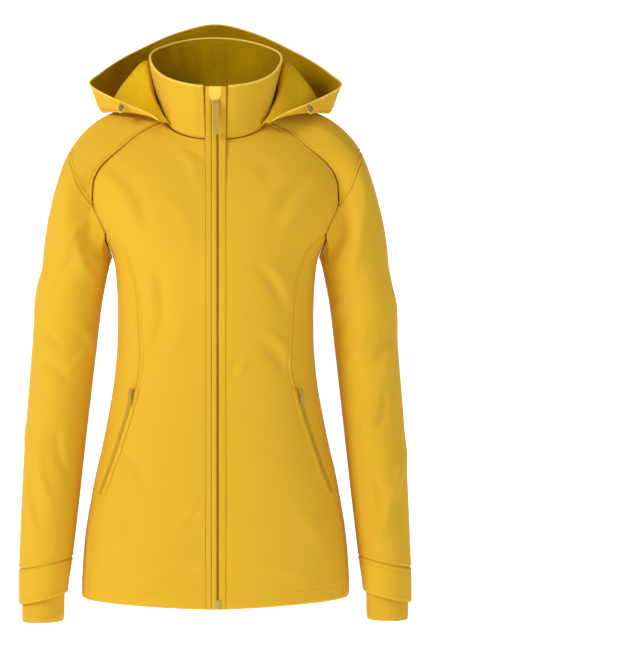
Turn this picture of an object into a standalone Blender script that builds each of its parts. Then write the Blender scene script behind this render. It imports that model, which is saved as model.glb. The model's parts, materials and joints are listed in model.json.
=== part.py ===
"""Softshell jacket, filled out and worn open to nobody: every sewn piece is its own closed wall.

Metres, +Z up. The front looks towards -Y and +X is the wearer's left side. The origin is inside the
neck, level with the shoulders. Every length below is a real one, in metres, unless it ends in _MM.
"""

import math

import bmesh
import bpy
import numpy as np
from mathutils import Matrix, Vector

MM = 0.001

# Driving dimensions of the garment.
CLOTH = 0.0012            # softshell wall
SEAM_GAP = 0.0003         # gap between two sewn pieces
ZIP_HALF = 0.0145         # centre front to the front panel's edge
HEM_FRONT_MM = -697.0     # hem height at centre front, side and centre back
HEM_SIDE_MM = -690.0
HEM_BACK_MM = -702.0
CHEST_LINE_MM = -172.0    # where the panel seam leaves the raglan seam
ARMPIT_MM = -200.0        # lowest point of the armhole

# The torso's level sections: height, half width, depth in front of and behind the side line.
TORSO_COLUMNS = ("height", "half_width", "front", "back")
TORSO_MM = (
    (-720, 192.5, 119, 117),
    (-684, 192.5, 119, 117),
    (-641, 191.0, 118, 116),
    (-597, 187.0, 117, 116),
    (-554, 180.0, 115, 114),
    (-510, 171.5, 113, 111),
    (-481, 164.5, 111, 108),
    (-452, 158.5, 109, 105),
    (-423, 153.0, 107, 101),
    (-394, 148.0, 105, 98),
    (-365, 144.5, 104, 95),
    (-336, 142.0, 104, 93),
    (-307, 141.0, 106, 93),
    (-264, 141.0, 111, 97),
    (-235, 142.5, 116, 101),
    (-206, 146.5, 119, 105),
    (-190, 153.0, 119, 107),
    (-172, 165.0, 117, 109),
    (-150, 178.0, 113, 111),
    (-130, 185.0, 109, 112),
    (-112, 189.0, 104, 112),
    (-91, 190.0, 98, 110),
    (-74, 187.0, 92, 107),
    (-46, 175.0, 83, 98),
    (-10, 152.0, 72, 84),
    (30, 128.0, 64, 70),
    (60, 110.0, 58, 62),
)
ROUNDNESS = 2.35          # 2 is an ellipse, more is squarer

# Raglan seam from the chest line up to the neck seam, as half width against height.
RAGLAN_MM = ((-172, 156.0), (-154, 164.0), (-131, 174.5), (-112, 176.0), (-91, 174.5), (-74, 167.0),
             (-46, 143.0), (-10, 110.0), (2, 92.0))
# Panel seam down the front, through the pocket, from the chest line to the hem.
PANEL_SEAM_MM = ((-172, 156.0), (-190, 134.5), (-222, 121.0), (-255, 113.0), (-308, 109.0), (-367, 108.5),
                 (-394, 115.0), (-428, 124.0), (-465, 136.0), (-500, 147.5), (-545, 164.0), (-575, 173.5),
                 (-620, 181.0), (-700, 184.5))

# Neck seam and the collar's top edge: tilted ovals, with their sides lifted.
NECK = {"half_width": 80.0, "front": -76.0, "back": 66.0, "low": -38.0, "high": 38.0, "lift": 16.0}
COLLAR_TOP = {"half_width": 96.0, "front": -85.0, "back": 78.0, "low": 36.0, "high": 125.0, "lift": 6.0}
NECK_CORNER = math.radians(66)        # where the raglan seams meet the neck seam, from centre front
NECK_CORNER_BACK = math.radians(122)

# Shoulder line over the top of the arm, from the neck to the upper arm: outwards, up.
SHOULDER_MM = ((80, 16), (118, 11), (150, 4), (172, -7), (190, -22), (205, -40), (217, -62), (227, -90),
               (236, -122), (243, -155), (247.5, -185), (250, -215))
# Level sections of the sleeve: height, axis outwards, axis back, half width, half depth, inner side's lift.
ARM_COLUMNS = ("height", "outwards", "back", "half_width", "half_depth", "inner_lift")
ARM_MM = (
    (-215, 202.0, 4, 48.0, 62, 0),
    (-264, 211.5, 7, 47.8, 59, 0),
    (-336, 219.0, 8, 46.4, 56, 0),
    (-409, 226.0, 4, 45.2, 54, 1),
    (-481, 232.0, -4, 43.5, 51, 2),
    (-554, 237.0, -13, 41.2, 48, 4),
    (-626, 242.0, -21, 38.5, 45, 7),
    (-640, 243.0, -22, 38.0, 44, 8),
    (-682, 246.0, -26, 35.2, 41, 8),
    (-700, 246.5, -28, 34.5, 40, 8),
)

CUFF_SEAM_ROW = -640      # height where the sleeve's cuff band starts
SLEEVE_END_MM = -690.0
KNIT_END_MM = -722.0

# Hood, laid back round the neck. Stations from the front end (at the neck seam) to centre back:
# angle from centre front, then for each fold line its distance from the neck's axis and height.
HOOD_COLUMNS = ("angle", "crest_r", "crest_z", "slope_r", "slope_z", "bottom_r", "bottom_z",
                "rim_r", "rim_z")
HOOD_MM = (
    (52, 87, -12, 91, -13, 96, -13, 103, -10),
    (60, 92, 2, 97, -2, 103, -6, 110, -1),
    (75, 98, 38, 112, 22, 133, 4, 144, 19),
    (90, 102, 74, 130, 46, 160, 6, 180, 44),
    (110, 104, 84, 134, 52, 166, 14, 181, 70),
    (135, 100, 90, 128, 50, 160, 16, 176, 108),
    (160, 92, 91, 120, 46, 152, 16, 165, 143),
    (180, 87, 91, 115, 44, 147, 16, 160, 156),
)

# Zip slider and pull tab sizes.
SLIDER = {"width": 0.0095, "height": 0.0120, "depth": 0.0032}
PULL = {"width": 0.0100, "length": 0.0440, "depth": 0.0020}
POCKET_SLIDER = {"width": 0.0070, "height": 0.0080, "depth": 0.0026}
POCKET_PULL = {"width": 0.0048, "length": 0.0200, "depth": 0.0016}
HINGE_RADIUS = 0.0010
PULL_CLEARANCE = 0.0005

YELLOW = (0.74, 0.43, 0.010)
YELLOW_DARK = (0.52, 0.29, 0.008)
YELLOW_LIGHT = (0.90, 0.62, 0.080)
METAL_GOLD = (0.55, 0.37, 0.06)


# Rows and columns of each panel, and the places of its seams.
LOWER_ROWS = 18
UPPER_ROWS = 8
JUNCTION_ROW = 2          # raglan rows from the chest line to the yoke's tip
FRONT_COLUMNS = 7
SIDE_COLUMNS = 3
BACK_COLUMNS = 6
YOKE_COLUMNS = 8
CAP_ROWS = 6
YOKE_REACH = 0.47         # share of the shoulder line that the yoke covers
TIP = 0.32                # places round the armhole, from the underarm (0) to the neck (1)
CHEST_PLACE = 0.17
CORNER_PLACE = 0.90
ARM_LEVELS = (-235, -262, -295, -330, -365, -400, -440, -480, -520, -560, -600, -640)
COLLAR_COLUMNS = 36
COLLAR_ROWS = 4
COLLAR_WALL = 0.0026
HOOD_TURNS = (52, 60, 69, 79, 90, 101, 112, 124, 137, 150, 160, 170, 180)
HOOD_STEPS = 12
BAND_STEP = 10
POCKET_TOP_MM = -392.0
POCKET_LOW_MM = -540.0
SEAM_REACH_MM = 0.9       # points this near each other meet at one seam
FOLD_LIMIT = -0.2         # smallest cosine between normals that still count as one surface
SIDES = (("left", True), ("right", False))
KNIT_AXIS = (246.0, -27.0)
KNIT_SHARE = 0.86
SOFTSHELL = (YELLOW, 0.8)
SOFTSHELL_DARK = (YELLOW_DARK, 0.8)
BINDING = (YELLOW_LIGHT, 0.7)
GOLD = (METAL_GOLD, 0.4, 0.6)
STRIP_ROWS = 30           # rows of the bands up the centre front
GUARD_ROWS = 60
GUARD_FOOT_MM = 15.0      # height where the chin guard starts
POCKET_ROWS = 9
HOOD_SPREAD = 1.045       # the hood's foot runs outside the neck seam by this share
HOOD_FOOT_LIFT_MM = 3.5
HOOD_CENTRE_TURN = 150    # angle of the seam between a hood side and the hood's centre, in degrees
SLIDER_SHARE = 0.66       # share of the collar's height where the closed zip's slider stands

# Bands of the front closure: name, left and right edge from the middle, wall, and height over the cloth.
BAND_COLUMNS = ("name", "low_x", "high_x", "wall", "lift")
BANDS = (
    ("placket_outer", -14.2, -6.3, 0.0022, 0.0006),
    ("placket_inner", -5.9, 1.2, 0.0022, 0.0006),
    ("placket_right", 3.9, 14.2, 0.0022, 0.0006),
)
DARK_BANDS = (
    ("zip_tape", -9.0, 11.5, 0.0009, -0.0024),
    ("zip_coil", 1.6, 3.5, 0.0014, -0.0006),
)


def spline(rows, x):
    """Smooth curve through a table's rows: the first column is where, the rest are values."""
    rows = np.array(rows, float)
    rows = rows[np.argsort(rows[:, 0])]
    x = np.asarray(x, float)
    at, values = rows[:, 0], rows[:, 1:]
    slopes = np.gradient(values, at, axis=0)
    k = np.clip(np.searchsorted(at, x) - 1, 0, len(at) - 2)
    span = (at[k + 1] - at[k])[..., None]
    t = np.clip((x - at[k])[..., None] / span, 0, 1)
    a, b = values[k], values[k + 1]
    ma, mb = slopes[k] * span, slopes[k + 1] * span
    out = (2 * t**3 - 3 * t**2 + 1) * a + (t**3 - 2 * t**2 + t) * ma
    out = out + (3 * t**2 - 2 * t**3) * b + (t**3 - t**2) * mb
    return out[..., 0] if values.shape[1] == 1 else out


def torso(angle, height):
    """Point of the torso at an angle from centre front (90 degrees is the side) and a height in mm."""
    half, front, back = np.moveaxis(spline(TORSO_MM, height), -1, 0)
    depth = np.where(np.cos(angle) > 0, front, back)
    across = (np.abs(np.sin(angle)) / half) ** ROUNDNESS + (np.abs(np.cos(angle)) / depth) ** ROUNDNESS
    radius = across ** (-1 / ROUNDNESS)
    return np.stack([radius * np.sin(angle), -radius * np.cos(angle), height + 0 * radius], -1)


def angle_at(x, height, front=True):
    """Angle where the torso's section at this height has this distance from the middle."""
    half, ahead, behind = np.moveaxis(spline(TORSO_MM, height), -1, 0)
    depth = ahead if front else behind
    share = np.clip(np.abs(x) / half, 0, 0.9999)
    along = depth * (1 - share**ROUNDNESS) ** (1 / ROUNDNESS)
    angle = np.arctan2(np.abs(x), along)
    return angle if front else math.pi - angle


def oval(ring, angle):
    """Point of the neck seam or the collar's top edge at an angle from centre front."""
    middle = (ring["front"] + ring["back"]) / 2
    reach = (ring["back"] - ring["front"]) / 2
    x = ring["half_width"] * np.sin(angle)
    y = middle - reach * np.cos(angle)
    slope = (ring["high"] - ring["low"]) / (ring["back"] - ring["front"])
    z = ring["low"] + (y - ring["front"]) * slope + ring["lift"] * np.abs(np.sin(angle)) ** 8
    return np.stack([x, y, z], -1)


def hem_height(angle):
    """Hem height round the body: low at centre front and back, higher at the sides."""
    low = np.where(np.cos(angle) > 0, HEM_FRONT_MM, HEM_BACK_MM)
    return HEM_SIDE_MM + (low - HEM_SIDE_MM) * np.cos(angle) ** 2


def seam_angle(height, front=True):
    return angle_at(spline(PANEL_SEAM_MM, height), height, front)


def armhole_dip(angle):
    """Top edge height of the side and back below the arm, lowest at the side."""
    ahead, behind = seam_angle(CHEST_LINE_MM), seam_angle(CHEST_LINE_MM, False)
    edge = np.where(angle < math.pi / 2, math.pi / 2 - ahead, behind - math.pi / 2)
    share = np.clip(np.abs(angle - math.pi / 2) / edge, 0, 1)
    return ARMPIT_MM + (CHEST_LINE_MM - ARMPIT_MM) * share**2 * (3 - 2 * share)


def lower_body(low_angle, high_angle, columns):
    """Rows from the hem to the armhole between two edges, given as functions of the height's share."""
    share = np.linspace(0, 1, LOWER_ROWS + 1)[:, None]
    across = np.linspace(0, 1, columns + 1)[None]
    level = HEM_SIDE_MM + share * (CHEST_LINE_MM - HEM_SIDE_MM)
    angle = low_angle(level) * (1 - across) + high_angle(level) * across
    bottom, top = hem_height(angle), armhole_dip(angle)
    return torso(angle, bottom + share * (top - bottom))


def upper_body(columns, front=True):
    """Rows from the chest line to the neck seam, between the front edge or centre back and the raglan seam."""
    share = np.linspace(0, 1, UPPER_ROWS + 1)[:, None]
    across = np.linspace(0, 1, columns + 1)[None]
    corner = NECK_CORNER if front else NECK_CORNER_BACK
    start = math.asin(ZIP_HALF / MM / NECK["half_width"]) if front else math.pi
    neck = oval(NECK, start + (corner - start) * across)
    outer_z = CHEST_LINE_MM + share * (2 - CHEST_LINE_MM)
    inner_z = CHEST_LINE_MM + share * (neck[0, 0, 2] - CHEST_LINE_MM)
    outer = angle_at(spline(RAGLAN_MM, outer_z), outer_z, front)
    first = angle_at(ZIP_HALF / MM, inner_z) if front else math.pi + 0 * inner_z
    angle = first * (1 - across) + outer * across
    points = torso(angle, inner_z * (1 - across) + outer_z * across)
    rise = share[..., None] ** 3
    return points + rise * (neck - points[-1:])


def smooth_normals(grid):
    """Unit normals of a grid of points, facing out where columns run from front to back on the left side."""
    along = np.gradient(grid, axis=0)
    across = np.gradient(grid, axis=1)
    normal = np.cross(across, along)
    return normal / np.linalg.norm(normal, axis=-1, keepdims=True)


def mirrored(grid):
    return grid * np.array([-1.0, 1.0, 1.0])


def inset(grid, rows=(True, True), columns=(True, True)):
    """Moves the chosen edges of a grid in by half a seam gap."""
    grid = grid.copy()
    half = SEAM_GAP / MM / 2

    def moved(edge, inner):
        way = inner - edge
        return edge + way / np.linalg.norm(way, axis=-1, keepdims=True) * half

    if rows[0]:
        grid[0] = moved(grid[0], grid[1])
    if rows[1]:
        grid[-1] = moved(grid[-1], grid[-2])
    if columns[0]:
        grid[:, 0] = moved(grid[:, 0], grid[:, 1])
    if columns[1]:
        grid[:, -1] = moved(grid[:, -1], grid[:, -2])
    return grid


def material(name, colour, roughness=0.75, metallic=0.0):
    found = bpy.data.materials.get(name)
    if found:
        return found
    made = bpy.data.materials.new(name)
    made.use_nodes = True
    shader = made.node_tree.nodes["Principled BSDF"]
    shader.inputs["Base Color"].default_value = (*colour, 1)
    shader.inputs["Roughness"].default_value = roughness
    shader.inputs["Metallic"].default_value = metallic
    return made


def add_mesh(name, points, faces, finish):
    """New object from points in mm and faces, in the jacket's collection."""
    mesh = bpy.data.meshes.new(name)
    mesh.from_pydata((np.asarray(points) * MM).tolist(), [], faces)
    mesh.materials.append(material(f"{name}_finish", *finish))
    mesh.shade_smooth()
    mesh.set_sharp_from_angle(angle=math.radians(50))
    made = bpy.data.objects.new(name, mesh)
    bpy.data.collections["babywearing_softshell_jacket"].objects.link(made)
    return made


def wall(name, grid, finish, thickness=CLOTH, left=True, wrap=False, normals=None, cells=None, lift=0.0):
    """Closed wall of a thickness under a grid of outer points, which may be moved out by a lift first."""
    grid = np.asarray(grid, float)
    rows, columns = grid.shape[:2]
    if normals is None:
        padded = np.concatenate([grid[:, -2:-1], grid, grid[:, 1:2]], 1) if wrap else grid
        normals = smooth_normals(padded)
        normals = normals[:, 1:-1] if wrap else normals
    if wrap:
        grid, normals, columns = grid[:, :-1], normals[:, :-1], columns - 1
    outer = grid + normals * lift / MM
    inner = outer - normals * thickness / MM
    count = rows * columns
    last = columns if wrap else columns - 1
    faces = []
    edges = {}
    for i in range(rows - 1):
        for j in range(last):
            if cells is not None and not cells[i, j]:
                continue
            k = (j + 1) % columns
            ring = [i * columns + j, i * columns + k, (i + 1) * columns + k, (i + 1) * columns + j]
            faces.append(ring)
            faces.append([count + ring[m] for m in (2, 1, 0, 3)])
            for a, b in zip(ring, ring[1:] + ring[:1]):
                edges[(a, b)] = (b, a)
    for (a, b), back in edges.items():
        if back not in edges:
            faces.append([b, a, count + a, count + b])
    points = np.concatenate([outer.reshape(-1, 3), inner.reshape(-1, 3)])
    used = sorted({v for face in faces for v in face})
    number = {v: k for k, v in enumerate(used)}
    faces = [[number[v] for v in face] for face in faces]
    faces = [half for a, b, c, d in faces for half in ((a, b, c), (a, c, d))]
    points = points[used]
    if not left:
        points = mirrored(points)
        faces = [face[::-1] for face in faces]
    return add_mesh(name, points, faces, finish)


def share_normals(panels):
    """Gives points that meet at a seam one common normal, unless the two cloths fold back on each other there."""
    points = np.concatenate([grid.reshape(-1, 3) for grid, _ in panels])
    normals = np.concatenate([normal.reshape(-1, 3) for _, normal in panels])
    near = np.linalg.norm(points[:, None] - points[None], axis=-1) < SEAM_REACH_MM
    alike = normals @ normals.T > FOLD_LIMIT
    mixed = (near & alike).astype(float) @ normals
    mixed /= np.linalg.norm(mixed, axis=-1, keepdims=True)
    shared = []
    start = 0
    for grid, _ in panels:
        count = grid.shape[0] * grid.shape[1]
        shared.append(mixed[start:start + count].reshape(grid.shape))
        start += count
    return shared


def front_edge(level):
    return angle_at(ZIP_HALF / MM, level)


def straight_side(level):
    return math.pi / 2 + 0 * level


def front_panel_grid():
    low = lower_body(front_edge, seam_angle, FRONT_COLUMNS)
    return np.concatenate([low, upper_body(FRONT_COLUMNS)[1:]])


def back_half_grid():
    """Grid from the side seam to centre back, and which of its cells are cloth."""
    side = lower_body(straight_side, lambda level: seam_angle(level, False), SIDE_COLUMNS)
    middle = lower_body(lambda level: seam_angle(level, False), lambda level: math.pi + 0 * level, BACK_COLUMNS)
    low = np.concatenate([side, middle[:, 1:]], 1)
    high = upper_body(BACK_COLUMNS, False)[1:, ::-1]
    step = high[:, :1] - high[:, 1:2]
    beyond = high[:, :1] + step * np.arange(SIDE_COLUMNS, 0, -1)[None, :, None]
    grid = np.concatenate([low, np.concatenate([beyond, high], 1)])
    cells = np.ones((len(grid) - 1, grid.shape[1] - 1), bool)
    cells[LOWER_ROWS:, :SIDE_COLUMNS] = False
    return grid, cells


def shoulder_line(share):
    points = np.array(SHOULDER_MM, float)
    reach = np.r_[0, np.cumsum(np.hypot(*np.diff(points, axis=0).T))]
    return spline(np.column_stack([reach / reach[-1], points]), share)


def armhole():
    """Places and points round the armhole: underarm, front raglan seam, neck, back raglan seam."""
    side = lower_body(straight_side, seam_angle, SIDE_COLUMNS)[-1]
    back = lower_body(straight_side, lambda level: seam_angle(level, False), SIDE_COLUMNS)[-1]
    front_up = upper_body(FRONT_COLUMNS)[:, -1]
    back_up = upper_body(BACK_COLUMNS, False)[:, -1]
    across = np.linspace(0, 1, YOKE_COLUMNS + 1)[1:-1, None]
    neck = oval(NECK, NECK_CORNER + (NECK_CORNER_BACK - NECK_CORNER) * across[:, 0])
    under = np.linspace(0, CHEST_PLACE, SIDE_COLUMNS + 1)
    up = np.r_[np.linspace(CHEST_PLACE, TIP, JUNCTION_ROW + 1),
               np.linspace(TIP, CORNER_PLACE, UPPER_ROWS - JUNCTION_ROW + 1)[1:]]
    over = CORNER_PLACE + (2 - 2 * CORNER_PLACE) * across[:, 0]
    places = np.r_[under[:-1], up, over, 2 - up[::-1], 2 - under[-2::-1]]
    points = np.concatenate([side[:-1], front_up, neck, back_up[::-1], back[-2::-1]])
    return places, points


def cap(v, s):
    """Point of the sleeve's head: v runs from the armhole (0) to the upper arm (1), s round it from the underarm."""
    v, s = np.broadcast_arrays(v, s)
    places, points = armhole()

    def ring(v):
        top = shoulder_line(v)
        low = np.stack([148 + 6 * v, 0 * v, ARMPIT_MM - 15 * v], -1)
        high = np.stack([top[..., 0], 0 * v, top[..., 1]], -1)
        half = (high - low) / 2
        way = half / np.linalg.norm(half, axis=-1, keepdims=True)
        out = np.stack([way[..., 2], 0 * v, -way[..., 0]], -1)
        bow = 58 * (1 - v) ** 1.3 * np.abs(np.sin(math.pi * s)) ** 1.6
        depth = 50 + 12 * v
        point = low + half * (1 - np.cos(math.pi * s))[..., None] + out * bow[..., None]
        point[..., 1] += 4 * v - depth * np.sin(math.pi * s)
        return point

    seam = np.stack([np.interp(s, places, points[:, k]) for k in range(3)], -1)
    under = np.clip((TIP - np.minimum(s, 2 - s)) / (TIP - CHEST_PLACE), 0, 1)
    seam[..., 0] += 0.6 * under
    return ring(v) + (seam - ring(0 * v)) * ((1 - v) ** 2)[..., None]


def yoke_edge_places():
    """(v, s) along the yoke seam, from its front tip over the shoulder to its back tip."""
    m = np.linspace(0, 1, YOKE_COLUMNS + 1)
    return YOKE_REACH * np.sin(math.pi * m) ** 0.9, TIP + (2 - 2 * TIP) * m


def yoke_grid():
    rows = UPPER_ROWS - JUNCTION_ROW
    k = np.linspace(0, 1, rows + 1)[:, None]
    m = np.linspace(0, 1, YOKE_COLUMNS + 1)[None]
    start = TIP + (CORNER_PLACE - TIP) * k
    v = YOKE_REACH * (1 - k) * np.sin(math.pi * m) ** 0.9
    return cap(v, start + (2 - 2 * start) * m)


def arm(height, s):
    """Point of the sleeve below the upper arm at a height in mm and a place round it."""
    out, back, half, depth, inner = np.moveaxis(spline(ARM_MM, height), -1, 0)
    x = out - half * np.cos(math.pi * s)
    y = back - depth * np.sin(math.pi * s)
    return np.stack([x, y, height + inner * np.cos(math.pi * s)], -1)


def ring_places():
    """Places of the sleeve's columns at its top edge and at the upper arm, and where each one starts."""
    places, _ = armhole()
    edge_v, edge_s = yoke_edge_places()
    low = places[places < TIP - 1e-6]
    top = np.r_[low, edge_s, (2 - low)[::-1]]
    start = np.r_[0 * low, edge_v, 0 * low]
    even = np.linspace(0, 2, len(top))
    return top, start, even


def sleeve_grid():
    top, start, even = ring_places()
    share = np.linspace(0, 1, CAP_ROWS + 1)[:, None]
    places = top + (even - top) * share
    head = cap(start + (1 - start) * share, places)
    levels = np.array(ARM_LEVELS, float)[:, None] + 0 * even
    return np.concatenate([head, arm(levels, even)])[::-1]


def cuff_grid(levels):
    _, _, even = ring_places()
    levels = np.array(levels, float)[:, None] + 0 * even
    return arm(levels, even)[::-1]


def collar_grid():
    start = math.asin((ZIP_HALF / MM + 0.3) / NECK["half_width"])
    angle = np.linspace(start, 2 * math.pi - start, COLLAR_COLUMNS + 1)
    share = np.linspace(0.006, 1, COLLAR_ROWS + 1)[:, None, None]
    return oval(NECK, angle) * (1 - share) + oval(COLLAR_TOP, angle) * share


def centre_line(rows):
    """Points (back, up) down the centre front, from the hem to the collar's top."""
    body = np.linspace(HEM_FRONT_MM, NECK["low"] - 12, 60)
    collar = np.linspace(0.12, 1, 12)
    y = np.r_[-spline(TORSO_MM, body)[:, 1], NECK["front"] + (COLLAR_TOP["front"] - NECK["front"]) * collar]
    z = np.r_[body, NECK["low"] + (COLLAR_TOP["low"] - NECK["low"]) * collar]
    reach = np.r_[0, np.cumsum(np.hypot(np.diff(y), np.diff(z)))]
    at = np.linspace(0, reach[-1], rows + 1)
    return np.stack([np.interp(at, reach, y), np.interp(at, reach, z)], -1)


def strip_grid(x_low, x_high, rows=STRIP_ROWS):
    """Band that runs up the centre front between two distances from the middle, on the cloth's line."""
    line = centre_line(rows)
    x = np.broadcast_to(np.array([x_low, x_high]), (len(line), 2))
    return np.stack([x, line[:, :1] + 0 * x, line[:, 1:] + 0 * x], -1)


def hood_grid():
    """Half of the hood: rows from the neck seam over the crest and the bottom to the rim, columns to centre back."""
    turn = np.array(HOOD_TURNS, float)
    folds = spline(HOOD_MM, turn)
    angle = np.radians(turn)
    foot = oval(NECK, angle)
    foot[:, :2] *= HOOD_SPREAD
    foot[:, 2] += HOOD_FOOT_LIFT_MM
    foot = np.stack([np.hypot(foot[:, 0], foot[:, 1]), foot[:, 2]], -1)
    crest, slope, bottom, rim = (folds[:, 2 * k:2 * k + 2] for k in range(4))
    knots = np.stack([foot, crest, slope, bottom, rim], 1)
    steps = np.linspace(0, 1, HOOD_STEPS + 1)
    rows = []
    for knot in knots:
        reach = np.r_[0, np.cumsum(np.hypot(*np.diff(knot, axis=0).T))]
        rows.append(spline(np.column_stack([reach / reach[-1], knot]), steps))
    section = np.array(rows).transpose(1, 0, 2)
    r, z = section[..., 0], section[..., 1]
    return np.stack([r * np.sin(angle), -r * np.cos(angle), z], -1)


def whole_round(half):
    """Half grid and its mirror image as one, through centre back."""
    return np.concatenate([half, mirrored(half)[:, -2::-1]], 1)


def on_front(x, height, lift=0.0):
    """Point on the front cloth and its outward normal, at a distance from the middle and a height in mm."""
    def at(x, height):
        return torso(angle_at(x, height), np.asarray(height, float))
    point = at(x, height)
    across = at(x + 0.5, height) - point
    along = at(x, height + 0.5) - point
    normal = np.cross(across, along)
    normal = normal / np.linalg.norm(normal)
    return point + normal * lift, normal


def pocket_grid(inner, outer):
    """Band along the pocket's slanted opening, between two distances from the panel seam, in mm."""
    level = np.linspace(POCKET_LOW_MM, POCKET_TOP_MM, POCKET_ROWS + 1)[:, None]
    seam = spline(PANEL_SEAM_MM, level[:, 0])[:, None]
    x = seam + np.array([[inner, outer]])
    return torso(angle_at(x, level + 0 * x), level + 0 * x)


def tapered_block(name, finish, size, taper, place, turn):
    """Bevelled block: size across, deep and tall, narrower at the bottom by taper, set at a place."""
    shape = bmesh.new()
    bmesh.ops.create_cube(shape, size=1)
    for corner in shape.verts:
        share = taper if corner.co.z < 0 else 1
        corner.co = Vector((corner.co.x * size[0] * share, corner.co.y * size[1], corner.co.z * size[2]))
    bmesh.ops.bevel(shape, geom=shape.edges[:], offset=min(size) * 0.25, segments=1, affect="EDGES")
    mesh = bpy.data.meshes.new(name)
    shape.to_mesh(mesh)
    shape.free()
    mesh.materials.append(material(f"{name}_finish", *finish))
    made = bpy.data.objects.new(name, mesh)
    made.matrix_world = Matrix.Translation(place) @ turn
    bpy.data.collections["babywearing_softshell_jacket"].objects.link(made)
    return made


def hang_turn(normal):
    """Rotation that keeps X level and leans -Y onto an outward normal."""
    out = -Vector(normal)
    side = Vector((0, 0, 1)).cross(out) * -1
    side.normalize()
    up = side.cross(out)
    return Matrix((side, out, up)).transposed().to_4x4()


def slider_and_pull(prefix, place, normal, slider, pull, finish):
    """Slider with two ears and, between them, the pull tab that hangs from the hinge line."""
    turn = hang_turn(normal)
    depth = slider["depth"]
    base = Vector(place) * MM
    block = (slider["width"], depth, slider["height"])
    tapered_block(f"{prefix}_slider", finish, block, 0.75, base + turn @ Vector((0, -depth / 2, 0)), turn)
    hinge_out = depth + PULL_CLEARANCE + HINGE_RADIUS
    hinge = base + turn @ Vector((0, -hinge_out, 0))
    tab = (pull["width"], pull["depth"], pull["length"])
    centre = Vector((0, 0, -pull["length"] / 2 + HINGE_RADIUS))
    made = tapered_block(f"{prefix}_pull_tab", finish, tab, 0.85, hinge + turn @ centre, turn)
    pivot = bpy.data.objects.new(f"{prefix}_pull_hinge", None)
    pivot.location = hinge
    bpy.data.collections["babywearing_softshell_jacket"].objects.link(pivot)
    made.parent = pivot
    made.matrix_parent_inverse = Matrix.Translation(-hinge)
    return made


def clear_scene():
    for item in list(bpy.data.objects):
        bpy.data.objects.remove(item, do_unlink=True)
    jacket = bpy.data.collections.new("babywearing_softshell_jacket")
    bpy.context.scene.collection.children.link(jacket)


def sew_gap(point, toward):
    way = toward - point
    return point + way / np.linalg.norm(way) * SEAM_GAP / MM / 2


def inset_back(whole):
    """Back panel with its stepped upper corners moved in from their seams too."""
    whole = inset(whole, rows=(False, True))
    last = whole.shape[1] - 1
    for k in range(SIDE_COLUMNS):
        for j in (k, last - k):
            whole[LOWER_ROWS, j] = sew_gap(whole[LOWER_ROWS, j], whole[LOWER_ROWS - 1, j])
    for row in range(LOWER_ROWS + 1, len(whole)):
        whole[row, SIDE_COLUMNS] = sew_gap(whole[row, SIDE_COLUMNS], whole[row, SIDE_COLUMNS + 1])
        j = last - SIDE_COLUMNS
        whole[row, j] = sew_gap(whole[row, j], whole[row, j - 1])
    return whole


def make_body_and_sleeves():
    back, cells = back_half_grid()
    front = front_panel_grid()
    side = lower_body(seam_angle, straight_side, SIDE_COLUMNS)
    yoke = yoke_grid()
    sleeve = sleeve_grid()
    sleeve_ring = np.concatenate([sleeve[:, -2:-1], sleeve, sleeve[:, 1:2]], 1)
    back_normals = smooth_normals(whole_round(back))[:, :back.shape[1]]
    panels = [(back, back_normals), (front, smooth_normals(front)), (side, smooth_normals(side)),
              (yoke, smooth_normals(yoke)), (sleeve, smooth_normals(sleeve_ring)[:, 1:-1])]
    back_n, front_n, side_n, yoke_n, sleeve_n = share_normals(panels)
    cloth = np.concatenate([cells, cells[:, ::-1]], 1)
    wall("back", inset_back(whole_round(back)), SOFTSHELL, normals=whole_round(back_n), cells=cloth)
    cuff = cuff_grid((CUFF_SEAM_ROW - 0.3, -655, -672, SLEEVE_END_MM))
    knit = cuff_grid((-676, -690, -704, KNIT_END_MM))
    knit[..., 0] = KNIT_AXIS[0] + (knit[..., 0] - KNIT_AXIS[0]) * KNIT_SHARE
    knit[..., 1] = KNIT_AXIS[1] + (knit[..., 1] - KNIT_AXIS[1]) * KNIT_SHARE
    knit[0, :, 2] = KNIT_END_MM
    for word, left in SIDES:
        wall(f"front_{word}", inset(front, rows=(False, True)), SOFTSHELL, left=left, normals=front_n)
        wall(f"side_front_{word}", inset(side, rows=(False, True)), SOFTSHELL, left=left, normals=side_n)
        wall(f"yoke_{word}", inset(inset(inset(yoke))), SOFTSHELL, left=left, normals=yoke_n)
        wall(f"sleeve_{word}", inset(sleeve, columns=(False, False)), SOFTSHELL, left=left, wrap=True,
             normals=sleeve_n)
        wall(f"sleeve_cuff_{word}", cuff, SOFTSHELL, left=left, wrap=True)
        wall(f"knit_cuff_{word}", knit, SOFTSHELL, left=left, wrap=True)


def make_front():
    wall("collar", collar_grid(), SOFTSHELL, thickness=COLLAR_WALL)
    for bands, finish in ((BANDS, SOFTSHELL), (DARK_BANDS, SOFTSHELL_DARK)):
        for name, low_x, high_x, thickness, lift in bands:
            wall(name, strip_grid(low_x, high_x), finish, thickness=thickness, lift=lift)
    guard = strip_grid(-9.5, 8.0, rows=GUARD_ROWS)
    guard = guard[guard[:, 0, 2] > GUARD_FOOT_MM]
    wall("chin_guard", guard, BINDING, thickness=CLOTH, lift=0.0024)


def make_pockets():
    for word, left in SIDES:
        wall(f"pocket_welt_{word}", pocket_grid(-6.5, -0.5), SOFTSHELL, left=left, thickness=0.0012, lift=0.0016)
        wall(f"pocket_zip_{word}", pocket_grid(0.0, 4.5), SOFTSHELL_DARK, left=left, thickness=0.0009, lift=0.0013)


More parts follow.
